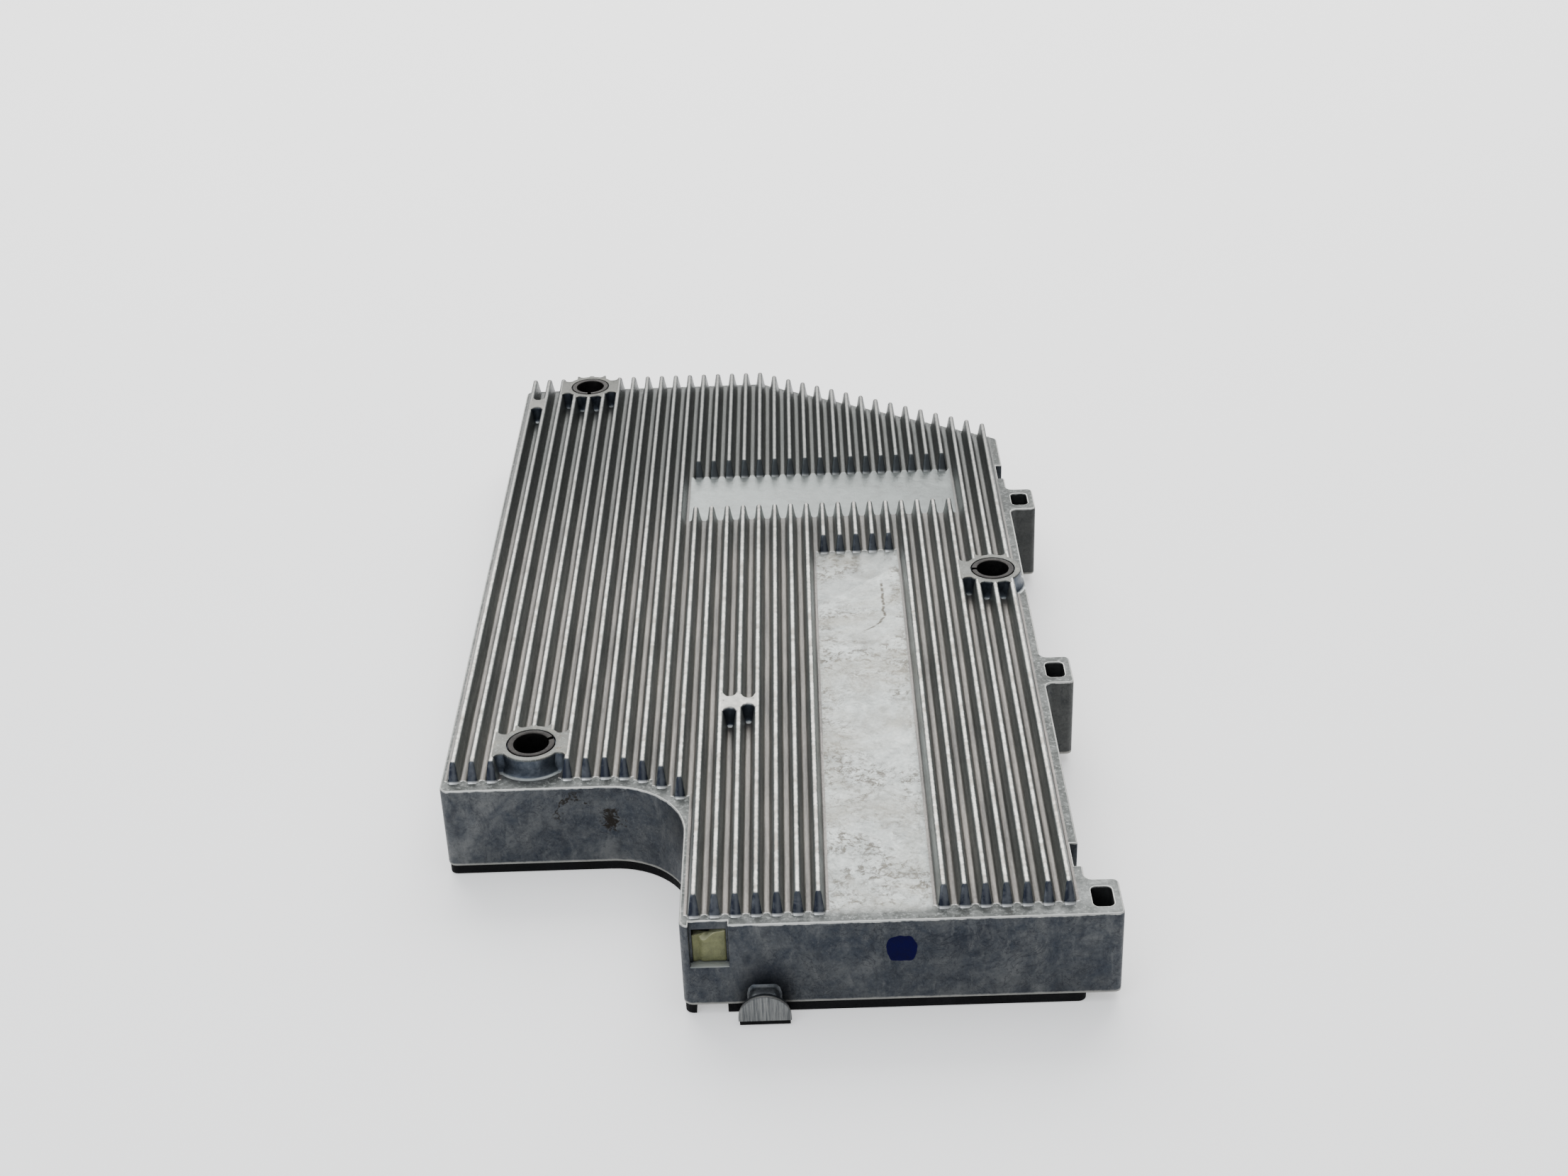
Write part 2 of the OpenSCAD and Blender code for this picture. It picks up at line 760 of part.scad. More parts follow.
module clip_screws() placed() color([0.7, 0.7, 0.72]) for (y = pair_ys) {
    low = transistor_z - clip_t;
    column([clip_x, y], thread_r, low, roof_z - 0.5);
    column([clip_x, y], screw_head_r, low - board_screw_head, low);
}

// ---- Board parts ----

module input_capacitors() placed() color([0.15, 0.18, 0.3])
    for (i = [0:1], j = [0:2])
        column([cans_x + i * can_pitch, cans_y + j * can_pitch], can_d / 2, part_z, part_z + can_h);

module film_capacitors() placed() color([0.75, 0.75, 0.72])
    for (y = film_ys) block([film_x, y], film_size, part_z);

module filter_choke_core() placed() color([0.25, 0.3, 0.25]) translate([choke_x, choke_y, part_z + wire_t])
    difference() {
        cylinder(d = choke_d, h = choke_h);
        translate([0, 0, -cut]) cylinder(d = choke_hole, h = choke_h + 2 * cut);
    }

// Two windings on opposite sides of the ring core, each a sleeve round a third of the ring
module filter_choke_windings() placed() color([0.72, 0.4, 0.18]) translate([choke_x, choke_y, part_z])
    for (turn = [0, 180]) rotate(turn - 60) rotate_extrude(angle = 120) {
        inner = choke_hole / 2;
        ring_w = (choke_d - choke_hole) / 2;
        difference() {
            translate([inner - wire_t, 0]) square([ring_w + 2 * wire_t, choke_h + 2 * wire_t]);
            translate([inner - wire_gap, wire_t - wire_gap])
                square([ring_w + 2 * wire_gap, choke_h + 2 * wire_gap]);
        }
    }

module output_inductor_core() placed() color([0.2, 0.2, 0.22]) translate([inductor_x, inductor_y, part_z]) {
    cylinder(d = inductor_d, h = inductor_flange);
    cylinder(d = inductor_d / 2, h = inductor_h);
    translate([0, 0, inductor_h - inductor_flange]) cylinder(d = inductor_d, h = inductor_flange);
}

module output_inductor_winding() placed() color([0.72, 0.4, 0.18])
    translate([inductor_x, inductor_y, part_z + inductor_flange]) difference() {
        cylinder(d = inductor_d - 2 * winding_drop, h = inductor_h - 2 * inductor_flange);
        translate([0, 0, -cut]) cylinder(d = inductor_d / 2, h = inductor_h);
    }

module grid_relays() placed() color([0.12, 0.2, 0.4])
    for (y = relay_ys) block([relay_x, y], relay_size, part_z);

module at_fuse() {
    translate([fuse_x, fuse_y - fuse_l / 2, fuse_z]) rotate([-90, 0, 0]) children();
}

module fuse() placed() color([0.85, 0.85, 0.82]) at_fuse() cylinder(d = fuse_d, h = fuse_l);

module fuse_clips() placed() color([0.75, 0.76, 0.78]) for (side = [-1, 1]) difference() {
    place = [fuse_x, fuse_y + side * (fuse_l / 2 - fuse_clip[1])];
    block(place, [fuse_d + fuse_clip[0], fuse_clip[1], fuse_clip[2]], part_z);
    at_fuse() cylinder(d = fuse_d, h = fuse_l);
    mouth = fuse_d - fuse_clip[0];
    translate([fuse_x - mouth / 2, fuse_y - fuse_l, fuse_z]) cube([mouth, 2 * fuse_l, fuse_clip[2]]);
}

module varistor() placed() color([0.1, 0.25, 0.55]) translate([varistor_x, varistor_y, part_z]) {
    translate([-varistor_t / 2, 0, varistor_d / 2 + varistor_lift]) rotate([0, 90, 0])
        cylinder(d = varistor_d, h = varistor_t);
    for (side = [-1, 1]) translate([side, side * varistor_d / 5, 0])
        cylinder(r = lead_r, h = varistor_d / 2);
}

module control_chips() placed() color([0.1, 0.1, 0.11])
    for (c = chips) block([c[0], c[1]], [c[2], c[3], chip_h], part_z);

cast_housing();
bush_front_left();
bush_rear_left();
bush_right();
bottom_cover();
cover_seal();
cover_screws();
front_window_plug();
right_front_window_plug();
right_rear_window_plug();
circuit_board();
board_screws();
dc_socket();
dc_pins();
ac_socket();
ac_pins();
transformer_core_lower();
transformer_core_upper();
transformer_bobbin();
transformer_winding();
transformer_pad();
power_transistors();
transistor_pads();
transistor_clips();
clip_screws();
input_capacitors();
film_capacitors();
filter_choke_core();
filter_choke_windings();
output_inductor_core();
output_inductor_winding();
grid_relays();
fuse();
fuse_clips();
varistor();
control_chips();
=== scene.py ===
import math
import bpy
import bmesh
from mathutils import Matrix, Vector, noise


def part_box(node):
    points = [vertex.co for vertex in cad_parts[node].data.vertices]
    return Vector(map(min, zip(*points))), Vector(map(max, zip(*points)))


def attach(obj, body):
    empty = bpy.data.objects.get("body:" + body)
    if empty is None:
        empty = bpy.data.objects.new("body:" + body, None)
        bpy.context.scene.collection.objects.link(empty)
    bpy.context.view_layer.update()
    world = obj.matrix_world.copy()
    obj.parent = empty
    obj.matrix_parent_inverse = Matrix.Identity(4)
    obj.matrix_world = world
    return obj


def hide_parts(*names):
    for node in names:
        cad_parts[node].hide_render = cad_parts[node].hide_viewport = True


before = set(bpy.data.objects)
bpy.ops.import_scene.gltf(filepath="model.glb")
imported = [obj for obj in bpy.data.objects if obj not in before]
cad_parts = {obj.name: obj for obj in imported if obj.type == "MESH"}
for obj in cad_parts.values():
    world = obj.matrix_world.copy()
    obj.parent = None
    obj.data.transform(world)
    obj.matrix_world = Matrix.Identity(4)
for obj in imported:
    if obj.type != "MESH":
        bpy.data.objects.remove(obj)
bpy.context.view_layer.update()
print("frame loaded with", len(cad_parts), "nodes")

# Lengths are in millimetres, from the left wall, the front wall and the floor, until a piece is finished
mm = 0.001
casting = {
    "width": 147.0, "length": 278.0, "foot": 2.4, "deck": 24.1, "roof": 21.8,
    "wall": 3.0, "flange": 6.4, "flangeTop": 5.0,
    "cornerRadius": 2.2, "stepWidth": 58.4, "stepLength": 53.5, "stepRadius": 19.0,
    "slantStart": 75.2, "slantDrop": 45.7,
    "edgeRadius": 0.5, "footRadius": 0.3, "mouthRadius": 0.28,
    "earWidth": 7.2, "earLength": 12.4, "earRadius": 1.4, "earFillet": 1.8,
    "earStarts": (0.0, 92.8, 186.0), "slotWidth": 4.6, "slotLength": 7.0,
    "slotStart": 147.7, "slotRadius": 1.3,
}
housingLow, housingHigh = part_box("cast_housing")
leftX = housingLow.x
frontY = housingHigh.y - casting["length"] * mm
topLevel = housingHigh.z / mm
toFrame = Matrix.Translation((leftX, frontY, 0)) @ Matrix.Scale(mm, 4)
slantAngle = math.atan2(casting["slantDrop"], casting["width"] - casting["slantStart"])


def arcPoints(cx, cy, radius, start, end, steps=6):
    turn = [math.radians(start + (end - start) * i / steps) for i in range(steps + 1)]
    return [(cx + radius * math.cos(a), cy + radius * math.sin(a)) for a in turn]


# Outline of the casting, anticlockwise and moved inwards; its ears are left off inside the walls
def castOutline(inset=0.0, ears=True):
    c = casting
    r = max(c["cornerRadius"] - inset, 0.5)
    left, right, front, rear = inset, c["width"] - inset, inset, c["length"] - inset
    stepX, stepY = c["stepWidth"] + inset, c["stepLength"] + inset
    half = slantAngle / 2
    bend = 90 - math.degrees(slantAngle)
    slantLeft = c["slantStart"] - inset * math.tan(half)
    slantRight = c["length"] - c["slantDrop"] - inset * math.tan(math.pi / 4 - half)
    points = arcPoints(stepX + r, front + r, r, 180, 270)
    if ears:
        out = c["width"] + c["earWidth"]
        er, fillet = c["earRadius"], c["earFillet"]
        for start in c["earStarts"]:
            end = start + c["earLength"]
            if start > 0:
                points += arcPoints(right + fillet, start - fillet, fillet, 180, 90)
            points += arcPoints(out - er, start + er, er, -90, 0)
            points += arcPoints(out - er, end - er, er, 0, 90)
            points += arcPoints(right + fillet, end + fillet, fillet, 270, 180)
    else:
        points += arcPoints(right - r, front + r, r, 270, 360)
    points += arcPoints(right - r, slantRight - r * math.tan(math.radians(bend) / 2), r, 0, bend, 5)
    points += arcPoints(slantLeft - r * math.tan(half), rear - r, r, bend, 90, 4)
    points += arcPoints(left + r, rear - r, r, 90, 180)
    points += arcPoints(left + r, stepY + r, r, 180, 270)
    points += arcPoints(c["stepWidth"] - c["stepRadius"], c["stepLength"] - c["stepRadius"],
                        c["stepRadius"] + inset, 90, 0, 28)
    return points


# Moves a closed outline inwards by mitring its corners
def insetRing(points, distance):
    moved = []
    for i, point in enumerate(points):
        before, here, after = Vector(points[i - 1]), Vector(point), Vector(points[(i + 1) % len(points)])
        one, two = (here - before).normalized(), (after - here).normalized()
        normalOne, normalTwo = Vector((-one.y, one.x)), Vector((-two.y, two.x))
        middle = (normalOne + normalTwo).normalized()
        moved.append(tuple(here + middle * distance / max(middle.dot(normalOne), 0.3)))
    return moved


# Joins rings of the same length into a closed skin
def ringSolid(bm, rings, closedLoop=False):
    rows = [[bm.verts.new(p) for p in ring] for ring in rings]
    count = len(rows[0])
    pairs = list(zip(rows, rows[1:])) + ([(rows[-1], rows[0])] if closedLoop else [])
    for low, high in pairs:
        for i in range(count):
            j = (i + 1) % count
            bm.faces.new((low[i], low[j], high[j], high[i]))
    if not closedLoop:
        bm.faces.new(rows[0][::-1])
        bm.faces.new(rows[-1])
    return rows


def lift(points, z):
    return [(x, y, z) for x, y in points]


# Turns a closed profile of radius and height round an upright axis
def turned(bm, cx, cy, profile, steps=48, limit=None):
    rings = []
    for i in range(steps):
        a = 2 * math.pi * i / steps
        ring = [Vector((cx + r * math.cos(a), cy + r * math.sin(a), z)) for r, z in profile]
        rings.append([limit(p) if limit else p for p in ring])
    ringSolid(bm, rings, closedLoop=True)


def block(bm, low, high):
    corners = [(low[0], low[1]), (high[0], low[1]), (high[0], high[1]), (low[0], high[1])]
    ringSolid(bm, [lift(corners, low[2]), lift(corners, high[2])])


def linkMesh(bm, name, sharpAngle=38):
    mesh = bpy.data.meshes.new(name)
    bm.to_mesh(mesh)
    bm.free()
    mesh.shade_smooth()
    mesh.set_sharp_from_angle(angle=math.radians(sharpAngle))
    made = bpy.data.objects.new(name, mesh)
    bpy.context.scene.collection.objects.link(made)
    return made


# Puts a mesh drawn in millimetres into the frame and lets it ride on the part
def finishPiece(bm, name, material, stands=(), sharpAngle=38):
    bmesh.ops.recalc_face_normals(bm, faces=bm.faces)
    bm.transform(toFrame)
    piece = linkMesh(bm, name, sharpAngle)
    piece.data.materials.append(material)
    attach(piece, "root")
    if stands:
        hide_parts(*stands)
    return piece


# Result of an object's modifiers as a plain mesh
def evaluatedMesh(holder):
    graph = bpy.context.evaluated_depsgraph_get()
    return bpy.data.meshes.new_from_object(holder.evaluated_get(graph))


def booleanSteps(body, steps):
    made = linkMesh(body, "bodyInWork")
    tools = []
    for kind, bm in steps:
        tool = linkMesh(bm, "toolInWork")
        tools.append(tool)
        modifier = made.modifiers.new(kind, "BOOLEAN")
        modifier.operation, modifier.solver, modifier.object = kind, "EXACT", tool
    mesh = evaluatedMesh(made)
    for holder in [made, *tools]:
        bpy.data.objects.remove(holder)
    result = bmesh.new()
    result.from_mesh(mesh)
    bpy.data.meshes.remove(mesh)
    return result


def node(tree, kind, inputs=None, **settings):
    made = tree.nodes.new(kind)
    for key, value in settings.items():
        setattr(made, key, value)
    for key, value in (inputs or {}).items():
        if isinstance(value, bpy.types.NodeSocket):
            tree.links.new(value, made.inputs[key])
        else:
            made.inputs[key].default_value = value
    return made


def calc(tree, operation, *values):
    return node(tree, "ShaderNodeMath", dict(enumerate(values)), operation=operation).outputs[0]


def mixColour(tree, factor, one, two):
    return node(tree, "ShaderNodeMix", {0: factor, 6: one, 7: two}, data_type="RGBA").outputs[2]


def span(tree, value, low, high, toLow=0.0, toHigh=1.0, smooth=False):
    inputs = {"Value": value, "From Min": low, "From Max": high, "To Min": toLow, "To Max": toHigh}
    kind = "SMOOTHSTEP" if smooth else "LINEAR"
    return node(tree, "ShaderNodeMapRange", inputs, interpolation_type=kind).outputs[0]


def noiseOut(tree, vector, scale, detail=4.0, roughness=0.55, distortion=0.0):
    inputs = {"Vector": vector, "Scale": scale, "Detail": detail, "Roughness": roughness,
              "Distortion": distortion}
    return node(tree, "ShaderNodeTexNoise", inputs).outputs[0]


# Coordinate parts, the distance of a noise from its middle, and a product of several masks
def split(tree, vector):
    return node(tree, "ShaderNodeSeparateXYZ", {0: vector}).outputs


def awayFromMiddle(tree, value):
    return calc(tree, "ABSOLUTE", calc(tree, "SUBTRACT", value, 0.5))


def product(tree, first, *others):
    for other in others:
        first = calc(tree, "MULTIPLY", first, other)
    return first


# Lays colours over one another, each through its mask
def layered(tree, under, *layers):
    for mask, over in layers:
        under = mixColour(tree, mask, under, over)
    return under


def newGroup(name, inputs, outputs):
    group = bpy.data.node_groups.new(name, "ShaderNodeTree")
    for label, kind, value in inputs:
        socket = group.interface.new_socket(label, in_out="INPUT", socket_type=kind)
        if value is not None:
            socket.default_value = value
    for label, kind in outputs:
        group.interface.new_socket(label, in_out="OUTPUT", socket_type=kind)
    return group, group.nodes.new("NodeGroupInput"), group.nodes.new("NodeGroupOutput")


def grouped(tree, group, inputs):
    return node(tree, "ShaderNodeGroup", inputs, node_tree=group).outputs


# Noise scales of the cast skin, and how deep its veins are
skinLook = {
    "streakScale": (700.0, 34.0, 700.0), "middleScale": 420.0, "ridgeScale": 110.0, "patchScale": 40.0,
    "veinHalf": 0.016, "veinDepth": 0.15, "waver": 0.0007,
}


# Blotches, fine grain, die streaks and hair veins of a casting, and the height that they make
def makeCastSkin():
    v = skinLook
    group, ins, outs = newGroup(
        "castSkin",
        [("Coordinates", "NodeSocketVector", None), ("Blotch Scale", "NodeSocketFloat", 60.0),
         ("Grain Scale", "NodeSocketFloat", 1600.0)],
        [("Blotch", "NodeSocketFloat"), ("Grain", "NodeSocketFloat"), ("Streak", "NodeSocketFloat"),
         ("Vein", "NodeSocketFloat"), ("Height", "NodeSocketFloat")],
    )
    place = ins.outputs["Coordinates"]
    broad = noiseOut(group, place, ins.outputs["Blotch Scale"], 8.0, 0.68, 0.8)
    fine = noiseOut(group, place, ins.outputs["Grain Scale"], 3.0, 0.65)
    stretched = node(group, "ShaderNodeMapping", {"Vector": place, "Scale": v["streakScale"]}).outputs[0]
    streak = noiseOut(group, stretched, 1.0, 4.0, 0.62)
    middle = noiseOut(group, place, v["middleScale"], 5.0, 0.65)
    ridge = awayFromMiddle(group, noiseOut(group, place, v["ridgeScale"], 6.0, 0.6, 1.6))
    patchy = span(group, noiseOut(group, place, v["patchScale"], 3.0, 0.5), 0.48, 0.66)
    vein = product(group, span(group, ridge, 0.0, v["veinHalf"], 1.0, 0.0), patchy)
    height = calc(group, "ADD", calc(group, "MULTIPLY", fine, 0.4), calc(group, "MULTIPLY", middle, 0.6))
    height = calc(group, "SUBTRACT", height, calc(group, "MULTIPLY", vein, v["veinDepth"]))
    mottle = calc(group, "ADD", calc(group, "MULTIPLY", broad, 0.7), calc(group, "MULTIPLY", middle, 0.3))
    group.links.new(span(group, mottle, 0.40, 0.60), outs.inputs["Blotch"])
    group.links.new(fine, outs.inputs["Grain"])
    group.links.new(span(group, streak, 0.35, 0.65), outs.inputs["Streak"])
    group.links.new(vein, outs.inputs["Vein"])
    group.links.new(height, outs.inputs["Height"])
    return group


# Band between two heights, broken up by noise
def makeRaggedBand():
    v = skinLook
    group, ins, outs = newGroup(
        "raggedBand",
        [("Coordinates", "NodeSocketVector", None), ("Low", "NodeSocketFloat", 0.0),
         ("High", "NodeSocketFloat", 0.01), ("Soft", "NodeSocketFloat", 0.0004)],
        [("Mask", "NodeSocketFloat")],
    )
    place = ins.outputs["Coordinates"]
    shake = calc(group, "SUBTRACT", noiseOut(group, place, v["middleScale"], 4.0, 0.6), 0.5)
    level = calc(group, "ADD", split(group, place)[2], calc(group, "MULTIPLY", shake, v["waver"]))
    soft = ins.outputs["Soft"]
    rise = span(group, level, calc(group, "SUBTRACT", ins.outputs["Low"], soft), ins.outputs["Low"])
    fall = span(group, level, ins.outputs["High"], calc(group, "ADD", ins.outputs["High"], soft), 1.0, 0.0)
    group.links.new(product(group, rise, fall), outs.inputs["Mask"])
    return group


castSkin = makeCastSkin()
raggedBand = makeRaggedBand()


def newMaterial(name, metallic=0.0, roughness=0.5):
    material = bpy.data.materials.new(name)
    material.use_nodes = True
    tree = material.node_tree
    shader = tree.nodes["Principled BSDF"]
    shader.inputs["Metallic"].default_value = metallic
    shader.inputs["Roughness"].default_value = roughness
    place = node(tree, "ShaderNodeTexCoord").outputs["Object"]
    return material, tree, shader, place


# Links a colour, a roughness and a bump to the shader
def dress(tree, shader, colour, rough, height, strength, distance):
    tree.links.new(colour, shader.inputs["Base Color"])
    tree.links.new(rough, shader.inputs["Roughness"])
    bump = node(tree, "ShaderNodeBump", {"Height": height, "Strength": strength, "Distance": distance})
    tree.links.new(bump.outputs[0], shader.inputs["Normal"])


# Mask that is 1 inside an upright box given in millimetres
def boxMask(tree, place, low, high, soft):
    parts, half = split(tree, place), soft * mm / 2
    masks = []
    for axis, offset in enumerate((leftX, frontY)):
        lowAt, highAt = offset + low[axis] * mm, offset + high[axis] * mm
        masks.append(span(tree, parts[axis], lowAt - half, lowAt + half))
        masks.append(span(tree, parts[axis], highAt - half, highAt + half, 1.0, 0.0))
    return product(tree, *masks)


# Colours of the casting
castLook = {
    "wallBlue": (0.030, 0.036, 0.046, 1), "wallGrey": (0.066, 0.070, 0.074, 1),
    "wallPale": (0.15, 0.153, 0.152, 1), "wallDark": (0.010, 0.012, 0.018, 1),
    # The edge colour is the top rim: partly rubbed metal, partly a painted highlight
    "earGrey": (0.045, 0.046, 0.042, 1), "flash": (0.34, 0.335, 0.31, 1), "edge": (0.60, 0.60, 0.57, 1),
    "deckPale": (0.44, 0.465, 0.455, 1), "deckGrey": (0.18, 0.193, 0.188, 1),
    "recess": (0.255, 0.28, 0.275, 1), "film": (0.235, 0.225, 0.19, 1), "glue": (0.075, 0.065, 0.05, 1),
    "strip": (0.125, 0.132, 0.129, 1), "stripDark": (0.05, 0.054, 0.052, 1),
    "stripRear": (0.055, 0.059, 0.057, 1), "stain": (0.012, 0.010, 0.008, 1),
    "padPale": (0.46, 0.455, 0.43, 1), "padGrey": (0.28, 0.28, 0.265, 1),
    "bossPale": (0.125, 0.13, 0.122, 1), "bossGrey": (0.085, 0.086, 0.078, 1),
    "towerBlue": (0.035, 0.045, 0.062, 1), "towerPale": (0.10, 0.115, 0.135, 1), "metallic": 0.85,
}
# Scale, detail, roughness and distortion of each noise on the casting
castNoise = {
    "wide": (34.0, 6.0, 0.7, 0.7), "fleck": (950.0, 6.0, 0.75), "smear": (1.0, 5.0, 0.65, 0.9),
    "crease": (240.0, 6.0, 0.62, 1.4), "rust": (520.0, 5.0, 0.7, 0.6), "crack": (105.0, 5.0, 0.6, 0.6),
    "speck": (520.0, 6.0, 0.75, 0.4), "patch": (46.0, 5.0, 0.65, 0.8), "film": (38.0, 7.0, 0.72, 1.2),
    "ragged": (900.0, 4.0, 0.7), "cloud": (240.0, 4.0, 0.6), "pits": (620.0, 3.0, 0.55),
}
# Two values of a noise or mask, and how strongly it shows at each
castSpans = {
    "widePale": (0.52, 0.70, 0.0, 0.6), "wideDark": (0.30, 0.46, 0.6, 0.0),
    "fleckPale": (0.54, 0.70, 0.0, 0.28), "fleckDark": (0.34, 0.46, 0.45, 0.0),
    "smearPale": (0.54, 0.72, 0.0, 0.35), "smearDark": (0.30, 0.45, 0.45, 0.0),
    "creaseLine": (0.0, 0.020, 0.7, 0.0), "creaseWhere": (0.56, 0.46), "upwardLit": (0.6, 0.95),
    "rust": (0.67, 0.76), "rustWhere": (0.0, 0.2), "crackLine": (0.002, 0.016, 1.0, 0.0),
    "crackWhere": (0.05, 0.3), "stripPale": (0.52, 0.66, 0.0, 0.4), "broadGrey": (0.0, 1.0, 0.0, 0.6),
    "veinOnPad": (0.0, 1.0, 0.25, 0.75), "speck": (0.48, 0.58), "patch": (0.43, 0.54), "film": (0.44, 0.62),
    "drawnPale": (0.3, 1.0), "drawn": (0.3, 0.6), "drawnFoot": (0.08, 0.25),
    "flankDull": (0.4, 1.0, 0.0, 0.4), "crownDull": (0.25, 0.95),
    "topPale": (0.54, 0.68, 0.0, 0.3), "topFilm": (0.52, 0.66, 0.0, 0.3),
    "pits": (0.66, 0.71),
}
# Places of marks in millimetres, and how far they reach
marks = {
    "stain": (39.6, 53.5, 14.6), "stainReach": 6.2, "crack": (30.5, 53.5, 18.5), "crackReach": 6.5,
    "shade": (76.2, 0.0, 9.5), "shadeReach": 9.5, "ears": 147.6, "dull": (125.0, 235.0),
    "pad": ((90.0, 4.0), (114.3, 163.0)), "recess": ((50.0, 182.0), (138.0, 216.0)),
    "corner": ((134.0, -2.0), (158.0, 13.0)), "padSoft": 3.0, "recessSoft": 4.0, "cornerSoft": 8.0,
    "earSoft": 0.8, "earFront": (0.6, 2.0), "rubAndHighlightBelow": 0.25, "rubAndHighlightSoft": 0.2, "footAbove": 0.45,
    "footSoft": 0.4, "smearTurn": (0.5, 0.7, 0.4), "smearScale": (330.0, 330.0, 130.0),
    "line": {"across": 108.3, "front": 120.5, "rear": 148.0, "bend": 129.0, "curl": 0.085,
             "waver": 2.0, "half": 0.45, "waverScale": 330.0, "breakScale": 700.0, "fadeIn": 1.0,
             "fadeOut": 3.0},
}


# Soft round mask about a point given in millimetres
def roundMask(tree, place, centre, reach):
    spot = Vector((leftX + centre[0] * mm, frontY + centre[1] * mm, centre[2] * mm))
    inputs = {0: place, 1: tuple(spot)}
    away = node(tree, "ShaderNodeVectorMath", inputs, operation="DISTANCE").outputs["Value"]
    return span(tree, away, 0.0, reach * mm, 1.0, 0.0, smooth=True)


# Mask that grows towards the rear, where the light on the casting is duller
def rearMask(tree, parts, most=1.0):
    return span(tree, parts[1], *[frontY + at * mm for at in marks["dull"]], 0.0, most, smooth=True)


# Thin broken line of dried glue that bends to the left at its front end
def glueLine(tree, parts):
    g = marks["line"]
    along = calc(tree, "SUBTRACT", parts[1], frontY)
    short = calc(tree, "MAXIMUM", calc(tree, "SUBTRACT", g["bend"] * mm, along), 0.0)
    bent = calc(tree, "MULTIPLY", calc(tree, "POWER", short, 2.0), g["curl"] / mm)
    row = node(tree, "ShaderNodeCombineXYZ", {1: along}).outputs[0]
    shake = calc(tree, "SUBTRACT", noiseOut(tree, row, g["waverScale"], 3.0, 0.6), 0.5)
    middle = calc(tree, "ADD", calc(tree, "SUBTRACT", leftX + g["across"] * mm, bent),
                  calc(tree, "MULTIPLY", shake, g["waver"] * mm))
    off = calc(tree, "ABSOLUTE", calc(tree, "SUBTRACT", parts[0], middle))
    line = span(tree, off, g["half"] * mm * 0.4, g["half"] * mm * 1.2, 1.0, 0.0)
    starts = span(tree, along, g["front"] * mm, (g["front"] + g["fadeIn"]) * mm)
    ends = span(tree, along, (g["rear"] - g["fadeOut"]) * mm, g["rear"] * mm, 1.0, 0.0)
    broken = span(tree, noiseOut(tree, row, g["breakScale"], 3.0, 0.6), 0.36, 0.5)
    return product(tree, line, starts, ends, broken)


# Brown stain and hair cracks on the wall of the front left step
def stainMasks(tree, place):
    n, s = castNoise, castSpans
    near = roundMask(tree, place, marks["stain"], marks["stainReach"])
    rust = calc(tree, "ADD", noiseOut(tree, place, *n["rust"]), calc(tree, "MULTIPLY", near, 0.30))
    rust = product(tree, span(tree, rust, *s["rust"]), span(tree, near, *s["rustWhere"]))
    close = roundMask(tree, place, marks["crack"], marks["crackReach"])
    crack = span(tree, awayFromMiddle(tree, noiseOut(tree, place, *n["crack"])), *s["crackLine"])
    return rust, product(tree, crack, span(tree, close, *s["crackWhere"]), 0.95)
